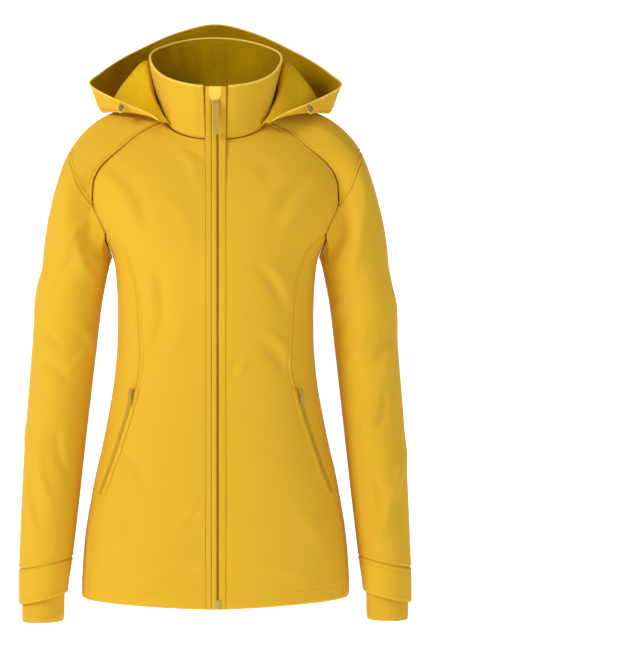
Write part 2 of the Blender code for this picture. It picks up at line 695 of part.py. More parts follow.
def make_hood():
    half = hood_grid()
    normals = smooth_normals(whole_round(half))
    middle = half.shape[1] - 1
    edge = HOOD_TURNS.index(HOOD_CENTRE_TURN)
    body = half[:BAND_STEP + 1]
    side_normals = normals[:BAND_STEP + 1, :edge + 1]
    for word, left in SIDES:
        wall(f"hood_side_{word}", inset(body[:, :edge + 1], columns=(False, True)), SOFTSHELL, left=left,
             normals=side_normals)
    full = whole_round(body)[:, edge:2 * middle - edge + 1]
    wall("hood_centre", inset(full), SOFTSHELL, normals=normals[:BAND_STEP + 1, edge:2 * middle - edge + 1])
    band = whole_round(half)[BAND_STEP:]
    wall("hood_band", inset(band, rows=(True, False), columns=(False, False)), SOFTSHELL,
         normals=normals[BAND_STEP:])


def make_hardware():
    front = NECK["front"] + (COLLAR_TOP["front"] - NECK["front"]) * SLIDER_SHARE
    place = (0.0, front - 1.4, NECK["low"] + (COLLAR_TOP["low"] - NECK["low"]) * SLIDER_SHARE)
    slider_and_pull("main_zip", place, (0, -1, 0), SLIDER, PULL, GOLD)
    for word, left in SIDES:
        x = float(spline(PANEL_SEAM_MM, POCKET_TOP_MM)) + 2.2
        point, normal = on_front(np.array(x), np.array(POCKET_TOP_MM - 2), 3.4)
        if not left:
            point, normal = mirrored(point), mirrored(normal)
        slider_and_pull(f"pocket_{word}", point, normal, POCKET_SLIDER, POCKET_PULL, GOLD)


def main():
    clear_scene()
    make_body_and_sleeves()
    make_front()
    make_pockets()
    make_hood()
    make_hardware()


main()
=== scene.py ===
"""Looks of the softshell jacket: fine cloth over the frame's panels, stitching, zips, materials, studio."""

import json
import math

import bpy
import numpy as np
from mathutils import Vector
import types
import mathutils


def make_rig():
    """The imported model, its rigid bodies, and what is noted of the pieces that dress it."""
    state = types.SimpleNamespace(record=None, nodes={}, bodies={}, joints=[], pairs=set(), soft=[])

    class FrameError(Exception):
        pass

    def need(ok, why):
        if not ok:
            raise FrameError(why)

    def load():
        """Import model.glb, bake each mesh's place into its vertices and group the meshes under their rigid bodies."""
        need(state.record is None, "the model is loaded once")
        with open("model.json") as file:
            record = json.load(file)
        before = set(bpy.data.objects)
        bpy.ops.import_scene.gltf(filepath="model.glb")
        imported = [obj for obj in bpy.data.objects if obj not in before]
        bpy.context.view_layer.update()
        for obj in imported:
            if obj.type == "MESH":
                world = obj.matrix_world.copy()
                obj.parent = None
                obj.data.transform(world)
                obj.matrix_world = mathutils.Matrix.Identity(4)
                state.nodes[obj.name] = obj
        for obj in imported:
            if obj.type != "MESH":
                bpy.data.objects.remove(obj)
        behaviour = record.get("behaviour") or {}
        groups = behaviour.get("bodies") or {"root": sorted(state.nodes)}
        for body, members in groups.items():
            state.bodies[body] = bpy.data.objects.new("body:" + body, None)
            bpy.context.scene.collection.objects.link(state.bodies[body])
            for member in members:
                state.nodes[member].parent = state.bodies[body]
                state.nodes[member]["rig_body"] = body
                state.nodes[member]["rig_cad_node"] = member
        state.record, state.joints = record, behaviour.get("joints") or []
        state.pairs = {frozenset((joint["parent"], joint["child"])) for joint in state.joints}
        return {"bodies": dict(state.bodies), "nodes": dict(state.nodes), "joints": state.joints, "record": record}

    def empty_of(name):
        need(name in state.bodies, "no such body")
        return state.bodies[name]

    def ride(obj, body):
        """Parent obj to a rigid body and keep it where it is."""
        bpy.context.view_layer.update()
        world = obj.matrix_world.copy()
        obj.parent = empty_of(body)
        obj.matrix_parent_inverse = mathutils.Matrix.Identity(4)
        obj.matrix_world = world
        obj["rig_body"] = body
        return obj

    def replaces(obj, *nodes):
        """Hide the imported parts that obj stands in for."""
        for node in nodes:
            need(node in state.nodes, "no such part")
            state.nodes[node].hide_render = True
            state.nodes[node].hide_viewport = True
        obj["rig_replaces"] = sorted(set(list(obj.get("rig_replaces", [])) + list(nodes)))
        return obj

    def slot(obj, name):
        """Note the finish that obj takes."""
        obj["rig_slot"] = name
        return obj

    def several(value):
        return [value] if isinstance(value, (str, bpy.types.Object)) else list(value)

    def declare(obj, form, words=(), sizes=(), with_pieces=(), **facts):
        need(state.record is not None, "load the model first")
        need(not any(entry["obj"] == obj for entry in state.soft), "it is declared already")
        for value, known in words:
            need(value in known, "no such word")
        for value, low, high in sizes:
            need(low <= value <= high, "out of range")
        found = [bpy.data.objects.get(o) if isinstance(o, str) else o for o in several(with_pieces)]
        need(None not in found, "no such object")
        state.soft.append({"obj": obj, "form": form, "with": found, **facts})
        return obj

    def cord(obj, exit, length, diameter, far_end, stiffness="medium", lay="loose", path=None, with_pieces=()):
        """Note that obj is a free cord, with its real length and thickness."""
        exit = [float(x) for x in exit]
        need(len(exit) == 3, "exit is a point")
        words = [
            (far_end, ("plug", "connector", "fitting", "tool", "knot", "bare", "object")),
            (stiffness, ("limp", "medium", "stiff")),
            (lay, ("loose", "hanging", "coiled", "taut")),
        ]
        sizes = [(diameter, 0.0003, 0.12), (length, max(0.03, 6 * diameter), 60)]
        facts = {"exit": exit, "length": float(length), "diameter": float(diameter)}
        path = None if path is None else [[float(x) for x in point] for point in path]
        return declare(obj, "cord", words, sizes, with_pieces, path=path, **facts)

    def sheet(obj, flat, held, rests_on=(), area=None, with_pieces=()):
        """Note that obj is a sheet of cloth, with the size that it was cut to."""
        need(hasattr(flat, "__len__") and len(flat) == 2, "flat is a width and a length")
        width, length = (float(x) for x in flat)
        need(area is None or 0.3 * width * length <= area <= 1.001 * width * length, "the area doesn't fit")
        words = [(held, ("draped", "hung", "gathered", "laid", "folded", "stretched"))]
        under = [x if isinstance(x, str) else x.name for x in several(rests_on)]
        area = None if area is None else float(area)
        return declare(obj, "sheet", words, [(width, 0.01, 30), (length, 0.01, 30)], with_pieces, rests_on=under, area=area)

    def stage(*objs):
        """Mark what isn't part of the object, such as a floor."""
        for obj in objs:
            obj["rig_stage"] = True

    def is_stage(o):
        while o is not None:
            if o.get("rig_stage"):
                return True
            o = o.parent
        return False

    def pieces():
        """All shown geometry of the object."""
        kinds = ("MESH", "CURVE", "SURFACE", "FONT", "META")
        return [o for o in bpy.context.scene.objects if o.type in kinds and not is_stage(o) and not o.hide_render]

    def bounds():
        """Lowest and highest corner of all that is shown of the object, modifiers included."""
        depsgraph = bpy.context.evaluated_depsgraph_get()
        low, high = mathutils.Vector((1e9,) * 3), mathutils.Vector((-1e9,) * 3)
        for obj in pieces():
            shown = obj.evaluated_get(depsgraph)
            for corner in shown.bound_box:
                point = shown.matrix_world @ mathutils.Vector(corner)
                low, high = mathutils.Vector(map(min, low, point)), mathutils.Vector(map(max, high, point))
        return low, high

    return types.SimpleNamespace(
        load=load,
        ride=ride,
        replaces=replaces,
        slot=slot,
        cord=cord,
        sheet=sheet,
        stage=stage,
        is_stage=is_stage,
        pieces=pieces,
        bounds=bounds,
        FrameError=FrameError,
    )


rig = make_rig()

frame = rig.load()
CAD_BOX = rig.bounds()

bl_info = {
    "name": "Softshell jacket",
    "version": (1, 0, 0),
    "blender": (4, 5, 0),
    "location": "3D View > Sidebar > Jacket",
    "description": "Builds the cloth, stitching and zips of a hooded softshell jacket",
    "category": "Add Mesh",
}

MM = 0.001

# Driving dimensions, in mm, the same as the frame's.
ZIP_HALF = 14.5
HEM_FRONT, HEM_SIDE, HEM_BACK = -697.0, -690.0, -702.0
CHEST_LINE, ARMPIT = -172.0, -200.0
ROUNDNESS = 2.35
TORSO = (  # height, half width, depth in front, depth behind
    (-720, 192.5, 119, 117), (-684, 192.5, 119, 117), (-641, 191.0, 118, 116), (-597, 187.0, 117, 116),
    (-554, 180.0, 115, 114), (-510, 171.5, 113, 111), (-481, 164.5, 111, 108), (-452, 158.5, 109, 105),
    (-423, 153.0, 107, 101), (-394, 148.0, 105, 98), (-365, 144.5, 104, 95), (-336, 142.0, 104, 93),
    (-307, 141.0, 106, 93), (-264, 141.0, 111, 97), (-235, 142.5, 116, 101), (-206, 146.5, 119, 105),
    (-190, 153.0, 119, 107), (-172, 165.0, 117, 109), (-150, 178.0, 113, 111), (-130, 185.0, 109, 112),
    (-112, 189.0, 104, 112), (-91, 190.0, 98, 110), (-74, 187.0, 92, 107), (-46, 175.0, 83, 98),
    (-10, 152.0, 72, 84), (30, 128.0, 64, 70), (60, 110.0, 58, 62),
)
RAGLAN = ((-172, 156.0), (-154, 164.0), (-131, 174.5), (-112, 176.0), (-91, 174.5), (-74, 167.0),
          (-46, 143.0), (-10, 110.0), (2, 92.0))
PANEL_SEAM = ((-172, 156.0), (-190, 134.5), (-222, 121.0), (-255, 113.0), (-308, 109.0), (-367, 108.5),
              (-394, 115.0), (-428, 124.0), (-465, 136.0), (-500, 147.5), (-545, 164.0), (-575, 173.5),
              (-620, 181.0), (-700, 184.5))
NECK = {"half_width": 80.0, "front": -76.0, "back": 66.0, "low": -38.0, "high": 38.0, "lift": 16.0}
COLLAR_TOP = {"half_width": 96.0, "front": -85.0, "back": 78.0, "low": 36.0, "high": 125.0, "lift": 6.0}
NECK_CORNER, NECK_CORNER_BACK = math.radians(66), math.radians(122)
SHOULDER = ((80, 16), (118, 11), (150, 4), (172, -7), (190, -22), (205, -40), (217, -62), (227, -90),
            (236, -122), (243, -155), (247.5, -185), (250, -215))
ARM = (  # height, axis outwards, axis back, half width, half depth, inner side's lift
    (-215, 202.0, 4, 48.0, 62, 0), (-264, 211.5, 7, 47.8, 59, 0), (-336, 219.0, 8, 46.4, 56, 0),
    (-409, 226.0, 4, 45.2, 54, 1), (-481, 232.0, -4, 43.5, 51, 2), (-554, 237.0, -13, 41.2, 48, 4),
    (-626, 242.0, -21, 38.5, 45, 7), (-640, 243.0, -22, 38.0, 44, 8), (-682, 246.0, -26, 35.2, 41, 8),
    (-700, 246.5, -28, 34.5, 40, 8),
)
CUFF_SEAM, SLEEVE_END, KNIT_TOP, KNIT_END = -640.0, -690.0, -676.0, -722.0
KNIT_AXIS, KNIT_SHARE = (246.0, -27.0), 0.86
HOOD = (  # angle, then distance out and height of crest, slope, bottom and rim
    (52, 87, -12, 91, -13, 96, -13, 103, -10), (60, 92, 2, 97, -2, 103, -6, 110, -1),
    (75, 98, 38, 112, 22, 133, 4, 144, 19), (90, 102, 74, 130, 46, 160, 6, 180, 44),
    (110, 104, 84, 134, 52, 166, 14, 181, 70), (135, 100, 90, 128, 50, 160, 16, 176, 108),
    (160, 92, 91, 120, 46, 152, 16, 165, 143), (180, 87, 91, 115, 44, 147, 16, 160, 156),
)
BAND_SHARE = 10 / 12
YOKE_REACH, TIP, CHEST_PLACE, CORNER_PLACE = 0.47, 0.32, 0.17, 0.90
POCKET_TOP, POCKET_LOW = -392.0, -540.0
YOKE_TOP = 2.0            # height at which the raglan seam ends at the neck
ARM_TOP, ARM_SHARE = -215.0, 0.66         # where the sleeve's head begins: height, share of the rows
COLLAR_RADIUS = 84.0      # turns the collar's angle into mm
ARM_REACH = 150.0         # half way round the sleeve, in mm
HOOD_FRONT, HOOD_SEAM = 52.0, 150.0       # angles of the hood's front end and of its centre seam
CORD_GAP, CORD_DROP, CORD_DIAMETER = 9.0, 16.0, 1.8
SNAP_TURN = 70.0          # angle of the snaps
ZIP_FOOT_TOP, CHIN_GUARD_LOW, CHIN_GUARD_MIDDLE = -683.0, 15.0, -0.75
COIL_PITCH = 1.5
PLACKETS = (  # name, its two edges, and the edges that are stitched: the near one (False), the far one (True)
    ("placket_outer", -14.2, -6.3, (False,)), ("placket_inner", -5.9, 1.2, (True,)),
    ("placket_right", 3.9, 14.2, (False, True)),
)
POCKET_BANDS = (  # name, its two edges from the panel seam, lift, wall, material, rows of topstitching
    ("pocket_welt", -6.5, -0.5, 1.6, 1.2, "softshell", ((1, False, 1.6),)),
    # The pocket's zip tape is painted dark as the shade in the slit under the welt.
    ("pocket_zip", 0.0, 4.5, 1.3, 0.9, "zip_tape", ()),
)

# Cloth and thread, in mm.
SIDES = (("left", 1), ("right", -1))
WALL = 1.2                # softshell
FOLD_GAIN = 1.3           # how deep the creases are against their tables
STITCH_IN = 6.2           # topstitch to its seam
HEM_STITCH = 20.0         # topstitch above the hem
STITCH_LENGTH, STITCH_GAP = 2.6, 1.2
THREAD, FINE_THREAD = 0.28, 0.22          # radius
FAR = 99.0                # out of a seam's reach
LOWER, UPPER, BACK_SIDE = 160, 46, 30     # rows below and above the chest line, columns under the arm
NARROWEST_CUT = 0.0101    # metres: a band's edges are turned in, so it is cut at least this wide
CUT_SHARE = (0.301, 0.999)                # least and most of its rectangle that a cut fills
SLOTS = {  # the frame's material slot for each material
    "softshell": "softshell", "fleece": "softshell", "lining": "softshell", "thread": "softshell",
    "binding": "binding", "knit": "knit", "zip_tape": "zip_tape", "coil": "zip_tape",
}

# Stage, in metres.
LIGHTS = (  # name, place, aim, size, share of the key's power
    ("key", (-2.3, -1.7, 1.4), (0, 0, -0.32), 0.9, 1.0),
    ("fill", (2.2, -2.4, 0.1), (0, 0, -0.32), 2.0, 0.16),
    ("top", (0.2, -1.2, 2.0), (0, 0, -0.2), 1.2, 0.12),
)
SURROUND, PAPER_GLOW = 0.29, 0.70         # strength of the pale surround, and of the backdrop lit from behind
EYE = (0.0, -3.2, -0.3067)
AIM = (0.1414, 0.0, -0.3067)
VIEW_WIDTH = 0.90915      # width of the picture at the jacket
SENSOR = 36.0
FLOOR_REACH, WALL_START, WALL_CURVE, WALL_HEIGHT = 9000.0, 4400.0, 1200.0, 5000.0     # mm

# Creases of the front, seen from the front: from x, z to x, z, half breadth, height (a trough is negative).
FRONT_CREASES = (
    (-148, -77, -97, -164, 9, -2.6), (-165, -77, -111, -181, 9, 2.4), (-60, -40, -21, -116, 9, 1.8),
    (-53, -54, -13, -68, 6, -1.8), (-97, -223, -100, -282, 7, 2.4), (-80, -229, -96, -344, 9, -3.2),
    (-41, -293, -98, -358, 11, 2.6), (-132, -479, -100, -533, 9, -2.0), (-146, -504, -132, -547, 7, 1.8),
    (-114, -673, -15, -617, 12, 2.8), (-83, -679, -13, -641, 8, -2.2), (-41, -568, -13, -542, 6, 1.8),
    (-42, -583, -14, -561, 6, -1.8), (-141, -554, -146, -610, 7, 1.6), (-129, -568, -135, -610, 7, -1.5),
    (66, -141, 131, -77, 9, 2.0), (86, -155, 136, -96, 8, -2.0), (97, -167, 134, -127, 7, 2.0),
    (69, -215, 103, -268, 8, 2.2), (59, -220, 96, -282, 9, -2.2), (69, -310, 104, -352, 8, 2.2),
    (65, -329, 98, -366, 9, -2.4), (30, -375, 45, -355, 6, 1.8), (21, -371, 38, -344, 6, -1.8),
    (23, -434, 65, -426, 8, -1.2), (23, -518, 104, -493, 12, 1.0), (-70, -120, -35, -190, 12, 1.4),
    (45, -60, 80, -110, 12, -1.2), (112, -560, 150, -620, 10, 1.4), (40, -640, 130, -660, 12, 1.2),
)
# Creases of the back, in the same way.
BACK_CREASES = (
    (-120, -150, -60, -230, 12, -2.6), (122, -140, 66, -224, 12, -2.4), (-108, -170, -50, -262, 10, 2.2),
    (104, -176, 52, -256, 11, 2.2), (-110, -300, -30, -332, 9, 2.8), (106, -312, 24, -338, 9, 2.6),
    (-96, -340, -16, -352, 8, -2.8), (100, -346, 20, -360, 8, -2.6), (-84, -372, 40, -384, 10, 2.4),
    (-20, -60, -30, -150, 14, 1.6), (34, -70, 28, -160, 14, -1.4), (-130, -480, -104, -600, 12, 2.0),
    (124, -470, 110, -610, 12, 1.8), (-40, -520, -30, -680, 16, 1.6), (52, -540, 60, -676, 15, -1.6),
)
# Creases of a sleeve, left and right as seen from the front: from place, height to place, height, half breadth and
# height. The place runs round the sleeve from the underarm (0), over the outer side (1), back to it (2).
LEFT_CREASES = (
    (0.42, -193, 0.66, -262, 7, -3.0), (0.52, -182, 0.24, -236, 7, 3.2), (0.40, -140, 0.62, -205, 8, 2.4),
    (0.72, -296, 0.50, -328, 6, -3.0), (0.48, -366, 0.22, -330, 8, 3.0), (0.40, -382, 0.72, -352, 7, -2.6),
    (0.62, -458, 0.46, -556, 9, 3.2), (0.46, -446, 0.30, -512, 8, -2.6), (0.80, -520, 0.42, -616, 9, 3.0),
    (0.68, -540, 0.36, -630, 8, -2.2), (0.14, -350, 0.34, -300, 8, 2.6), (0.90, -230, 1.06, -300, 10, 2.0),
    (1.34, -200, 1.52, -292, 9, 2.8), (1.60, -330, 1.34, -368, 8, -2.8), (1.40, -380, 1.66, -410, 8, 2.8),
    (1.60, -460, 1.36, -560, 9, 2.6), (1.44, -470, 1.26, -540, 8, -2.2), (1.12, -400, 0.96, -470, 9, 1.8),
)
RIGHT_CREASES = (
    (0.62, -133, 0.34, -236, 8, 3.0), (0.50, -139, 0.26, -190, 7, -2.8), (0.72, -299, 0.52, -353, 8, -3.4),
    (0.50, -299, 0.22, -359, 8, 3.2), (0.74, -336, 0.44, -398, 8, 3.0), (0.62, -400, 0.48, -450, 7, -2.8),
    (0.50, -413, 0.22, -465, 8, 2.8), (0.78, -484, 0.52, -556, 8, 3.2), (0.56, -550, 0.34, -615, 9, 3.2),
    (0.36, -500, 0.48, -579, 8, -2.4), (0.90, -250, 1.04, -320, 10, 2.0), (0.10, -300, 0.30, -270, 8, 2.0),
    (1.30, -210, 1.54, -286, 9, 2.8), (1.58, -322, 1.30, -372, 8, -3.0), (1.42, -372, 1.70, -402, 8, 2.8),
    (1.62, -480, 1.32, -548, 9, 2.6), (1.46, -500, 1.24, -560, 8, -2.2), (1.10, -430, 0.94, -500, 9, 1.8),
)
COLLAR_FOLDS = (  # angle from centre front, lean, half breadth, height
    (338, 0.10, 7, 1.4), (324, -0.20, 6, -1.3), (308, 0.25, 8, 1.5), (292, -0.1, 7, -1.2), (272, 0.15, 9, 1.3),
    (20, -0.1, 8, 0.9), (38, 0.2, 9, -0.9), (60, 0.1, 9, 1.0), (84, -0.2, 9, -0.8), (112, 0.1, 10, 1.5),
    (130, 0.05, 8, -1.6), (150, -0.05, 10, 1.6), (172, 0.05, 8, -1.5), (194, 0.0, 9, 1.6), (214, 0.08, 8, -1.5),
    (236, -0.1, 9, 1.2),
)


# ---------------------------------------------------------------- shapes

def spline(rows, x):
    """Cubic Hermite curve through a table's rows, with slopes from the rows on each side."""
    rows = np.array(rows, float)
    rows = rows[np.argsort(rows[:, 0])]
    x = np.asarray(x, float)
    at, values = rows[:, 0], rows[:, 1:]
    slopes = np.gradient(values, at, axis=0)
    k = np.clip(np.searchsorted(at, x) - 1, 0, len(at) - 2)
    span = (at[k + 1] - at[k])[..., None]
    t = np.clip((x - at[k])[..., None] / span, 0, 1)
    ends = (2 * t**3 - 3 * t**2 + 1) * values[k] + (3 * t**2 - 2 * t**3) * values[k + 1]
    out = ends + ((t**3 - 2 * t**2 + t) * slopes[k] + (t**3 - t**2) * slopes[k + 1]) * span
    return out[..., 0] if values.shape[1] == 1 else out


def torso(angle, height):
    """Squared oval at each height: its radius is ((sin / half width)^n + (cos / depth)^n)^(-1/n)."""
    half, front, back = np.moveaxis(spline(TORSO, height), -1, 0)
    depth = np.where(np.cos(angle) > 0, front, back)
    across = (np.abs(np.sin(angle)) / half) ** ROUNDNESS + (np.abs(np.cos(angle)) / depth) ** ROUNDNESS
    radius = across ** (-1 / ROUNDNESS)
    return np.stack([radius * np.sin(angle), -radius * np.cos(angle), height + 0 * radius], -1)


def angle_at(x, height, front=True):
    """Angle at which the torso's oval of this height has this distance from the middle."""
    half, ahead, behind = np.moveaxis(spline(TORSO, height), -1, 0)
    depth = ahead if front else behind
    share = np.clip(np.abs(x) / half, 0, 0.9999)
    angle = np.arctan2(np.abs(x), depth * (1 - share**ROUNDNESS) ** (1 / ROUNDNESS))
    return angle if front else math.pi - angle


def oval(ring, angle):
    """Ellipse whose height rises with its depth, its sides lifted by the eighth power of the sine."""
    middle, reach = (ring["front"] + ring["back"]) / 2, (ring["back"] - ring["front"]) / 2
    y = middle - reach * np.cos(angle)
    slope = (ring["high"] - ring["low"]) / (ring["back"] - ring["front"])
    z = ring["low"] + (y - ring["front"]) * slope + ring["lift"] * np.abs(np.sin(angle)) ** 8
    return np.stack([ring["half_width"] * np.sin(angle), y, z], -1)


def hem_height(angle):
    """The hem is low at centre front and back, and rises to the sides with the square of the sine."""
    low = np.where(np.cos(angle) > 0, HEM_FRONT, HEM_BACK)
    return HEM_SIDE + (low - HEM_SIDE) * np.cos(angle) ** 2


def seam_front(level):
    """Angle of the panel seam in front at each height."""
    return angle_at(spline(PANEL_SEAM, level), level)


def seam_back(level):
    """Angle of the panel seam's mirror image on the back, where the raglan seam starts."""
    return angle_at(spline(PANEL_SEAM, level), level, False)


def zip_edge(level):
    """Angle of the front panel's edge beside the zip."""
    return angle_at(ZIP_HALF, level)


def side_line(level):
    """Angle of the side seam: a quarter turn at every height."""
    return math.pi / 2 + 0 * level


def centre_back(level):
    """Angle of the centre back: half a turn at every height."""
    return math.pi + 0 * level


def armhole_dip(angle):
    """The armhole's lower edge is a smooth step from the chest line down to the armpit."""
    front, back = float(seam_front(CHEST_LINE)), float(seam_back(CHEST_LINE))
    edge = np.where(angle < math.pi / 2, math.pi / 2 - front, back - math.pi / 2)
    share = np.clip(np.abs(angle - math.pi / 2) / edge, 0, 1)
    return ARMPIT + (CHEST_LINE - ARMPIT) * share**2 * (3 - 2 * share)


def lower_body(low, high, share, across):
    """Torso between two seams: share runs from the hem (0) to the armhole (1), across from seam to seam."""
    share, across = share[:, None], across[None]
    level = HEM_SIDE + share * (CHEST_LINE - HEM_SIDE)
    angle = low(level) * (1 - across) + high(level) * across
    bottom, top = hem_height(angle), armhole_dip(angle)
    return torso(angle, bottom + share * (top - bottom))


def upper_body(share, across, front=True):
    """Torso from the chest line to the neck seam; the neck's pull grows with the cube of the share."""
    share, across = share[:, None], across[None]
    corner = NECK_CORNER if front else NECK_CORNER_BACK
    start = math.asin(ZIP_HALF / NECK["half_width"]) if front else math.pi
    neck = oval(NECK, start + (corner - start) * across)
    outer_z = CHEST_LINE + share * (YOKE_TOP - CHEST_LINE)
    inner_z = CHEST_LINE + share * (neck[0, 0, 2] - CHEST_LINE)
    outer = angle_at(spline(RAGLAN, outer_z), outer_z, front)
    first = angle_at(ZIP_HALF, inner_z) if front else math.pi + 0 * inner_z

    def plain(first, outer, inner_z, outer_z):
        return torso(first * (1 - across) + outer * across, inner_z * (1 - across) + outer_z * across)

    one = np.ones((1, 1))
    top_outer = angle_at(spline(RAGLAN, YOKE_TOP * one), YOKE_TOP * one, front)
    top_z = neck[0, 0, 2] * one
    top_first = angle_at(ZIP_HALF, top_z) if front else math.pi * one
    pull = neck - plain(top_first, top_outer, top_z, YOKE_TOP * one)
    return plain(first, outer, inner_z, outer_z) + share[..., None] ** 3 * pull


def shoulder_line(share):
    """Point down the top of the shoulder and arm, at this share of the line's length."""
    points = np.array(SHOULDER, float)
    reach = np.r_[0, np.cumsum(np.hypot(*np.diff(points, axis=0).T))]
    return spline(np.column_stack([reach / reach[-1], points]), share)


ARMHOLE = []


def armhole():
    """Places round the armhole (0 at the underarm, 1 at the neck, 2 back at the underarm) and their points."""
    if not ARMHOLE:
        fine = np.linspace(0, 1, 25)
        one = np.array([1.0])
        side = lower_body(side_line, seam_front, one, fine)[0]
        back = lower_body(side_line, seam_back, one, fine)[0]
        front_up, back_up = upper_body(fine, one)[:, 0], upper_body(fine, one, False)[:, 0]
        neck = oval(NECK, NECK_CORNER + (NECK_CORNER_BACK - NECK_CORNER) * fine[1:-1])
        under = CHEST_PLACE * fine
        up = np.interp(fine, [0, 0.25, 1], [CHEST_PLACE, TIP, CORNER_PLACE])
        over = CORNER_PLACE + (2 - 2 * CORNER_PLACE) * fine[1:-1]
        ARMHOLE.append(np.r_[under[:-1], up, over, 2 - up[::-1], 2 - under[-2::-1]])
        ARMHOLE.append(np.concatenate([side[:-1], front_up, neck, back_up[::-1], back[-2::-1]]))
    return ARMHOLE


def cap(v, s):
    """Sleeve's head: arcs that fan out from the armpit, bowed off their chords and eased onto the armhole."""
    v, s = np.broadcast_arrays(v, s)
    places, points = armhole()

    def ring(v):
        top = shoulder_line(v)
        low = np.stack([148 + 6 * v, 0 * v, ARMPIT - 15 * v], -1)
        half = (np.stack([top[..., 0], 0 * v, top[..., 1]], -1) - low) / 2
        way = half / np.linalg.norm(half, axis=-1, keepdims=True)
        out = np.stack([way[..., 2], 0 * v, -way[..., 0]], -1)
        bow = 58 * (1 - v) ** 1.3 * np.abs(np.sin(math.pi * s)) ** 1.6
        point = low + half * (1 - np.cos(math.pi * s))[..., None] + out * bow[..., None]
        point[..., 1] += 4 * v - (50 + 12 * v) * np.sin(math.pi * s)
        return point

    seam = np.stack([np.interp(s, places, points[:, k]) for k in range(3)], -1)
    under = np.clip((TIP - np.minimum(s, 2 - s)) / (TIP - CHEST_PLACE), 0, 1)
    seam[..., 0] += 0.6 * under
    return ring(v) + (seam - ring(0 * v)) * ((1 - v) ** 2)[..., None]


def yoke(share, across):
    """Yoke: share runs from the yoke seam (0) to the neck (1), across from the front to the back seam."""
    share, across = share[:, None], across[None]
    start = TIP + (CORNER_PLACE - TIP) * share
    v = YOKE_REACH * (1 - share) * np.sin(math.pi * across) ** 0.9
    return cap(v, start + (2 - 2 * start) * across)


def arm(height, s):
    """Sleeve below the upper arm: level ellipses about a leaning axis, tilted by a lift of the inner side."""
    out, back, half, depth, inner = np.moveaxis(spline(ARM, height), -1, 0)
    x = out - half * np.cos(math.pi * s)
    y = back - depth * np.sin(math.pi * s)
    return np.stack([x, y, height + inner * np.cos(math.pi * s)], -1)


def sleeve(share, turn):
    """Sleeve from the cuff seam (0) to the armhole and yoke seam (1); turn runs round it from 0 to 1."""
    first, last = 5 / 18, 13 / 18
    top = np.interp(turn, [0, first * 3 / 5, first, last, last + first * 2 / 5, 1],
                    [0, CHEST_PLACE, TIP, 2 - TIP, 2 - CHEST_PLACE, 2])
    m = np.clip((turn - first) / (last - first), 0, 1)
    start = YOKE_REACH * np.sin(math.pi * m) ** 0.9
    even = 2 * turn
    down = 1 - np.clip((share[:, None] - ARM_SHARE) / (1 - ARM_SHARE), 0, 1)
    points = cap(start + (1 - start) * down, top + (even - top) * down)
    level = CUFF_SEAM + (np.clip(share, 0, ARM_SHARE) / ARM_SHARE)[:, None] * (ARM_TOP - CUFF_SEAM)
    below = arm(level + 0 * even, even + 0 * level)
    return np.where((share <= ARM_SHARE)[:, None, None], below, points)


def hood(across, turn):
    """Half hood: sections through foot, crest, slope, bottom and rim, swept round the neck in degrees."""
    folds = spline((*HOOD, (200, *HOOD[-2][1:])), turn)
    angle = np.radians(turn)
    foot = oval(NECK, angle)
    foot = np.stack([1.045 * np.hypot(foot[:, 0], foot[:, 1]), foot[:, 2] + 3.5], -1)
    knots = np.stack([foot] + [folds[:, 2 * k:2 * k + 2] for k in range(4)], 1)
    sections = []
    for knot in knots:
        reach = np.r_[0, np.cumsum(np.hypot(*np.diff(knot, axis=0).T))]
        sections.append(spline(np.column_stack([reach / reach[-1], knot]), across))
    r, z = np.moveaxis(np.array(sections).transpose(1, 0, 2), -1, 0)
    return np.stack([r * np.sin(angle), -r * np.cos(angle), z], -1)


def centre_line(share):
    """Line up the centre front from the hem (0) to the collar's top (1), evenly spaced."""
    body = np.linspace(HEM_FRONT, NECK["low"] - 12, 200)
    collar = np.linspace(0.12, 1, 40)
    y = np.r_[-spline(TORSO, body)[:, 1], NECK["front"] + (COLLAR_TOP["front"] - NECK["front"]) * collar]
    z = np.r_[body, NECK["low"] + (COLLAR_TOP["low"] - NECK["low"]) * collar]
    reach = np.r_[0, np.cumsum(np.hypot(np.diff(y), np.diff(z)))]
    at = np.asarray(share) * reach[-1]
    return np.stack([np.interp(at, reach, y), np.interp(at, reach, z)], -1)


def mirrored(grid):
    """The same points on the other side of the middle."""
    return grid * np.array([-1.0, 1.0, 1.0])


def normals_of(grid, wrap=False):
    """Unit normals of a grid, from the cross product of its two directions."""
    if wrap:
        grid = np.concatenate([grid[:, -2:-1], grid, grid[:, 1:2]], 1)
    normal = np.cross(np.gradient(grid, axis=1), np.gradient(grid, axis=0))
    normal /= np.maximum(np.linalg.norm(normal, axis=-1, keepdims=True), 1e-9)
    return normal[:, 1:-1] if wrap else normal


def from_edges(grid, axis):
    """Distance of each point from the grid's two ends along one axis, in mm."""
    step = np.linalg.norm(np.diff(grid, axis=axis), axis=-1)
    start = np.concatenate([np.zeros_like(np.take(step, [0], axis)), np.cumsum(step, axis)], axis)
    return start, np.take(start, [-1], axis) - start


def ridge(d, middle, breadth, height):
    """Bell-shaped rise centred on a distance."""
    return height * np.exp(-((d - middle) / breadth) ** 2)


def seam_relief(d, stitched=True):
    """Cloth rolls down into a seam, puffs up beside it and dips under a line of topstitching 6 mm away."""
    relief = -ridge(d, 0, 1.5, 1.3) + ridge(d, 3.2, 1.8, 0.55)
    return relief - ridge(d, STITCH_IN, 0.9, 0.75) if stitched else relief


def pucker(d, along, seed):
    """Small uneven gathers that the stitching pulls into the cloth within 15 mm of a seam."""
    wave = np.sin(along / 5.1 + seed) + 0.7 * np.sin(along / 8.7 + 2.3 * seed)
    wave = wave + 0.5 * np.sin(along / 3.3 + seed)
    return 0.11 * wave * np.exp(-((d - 6) / 6) ** 2)


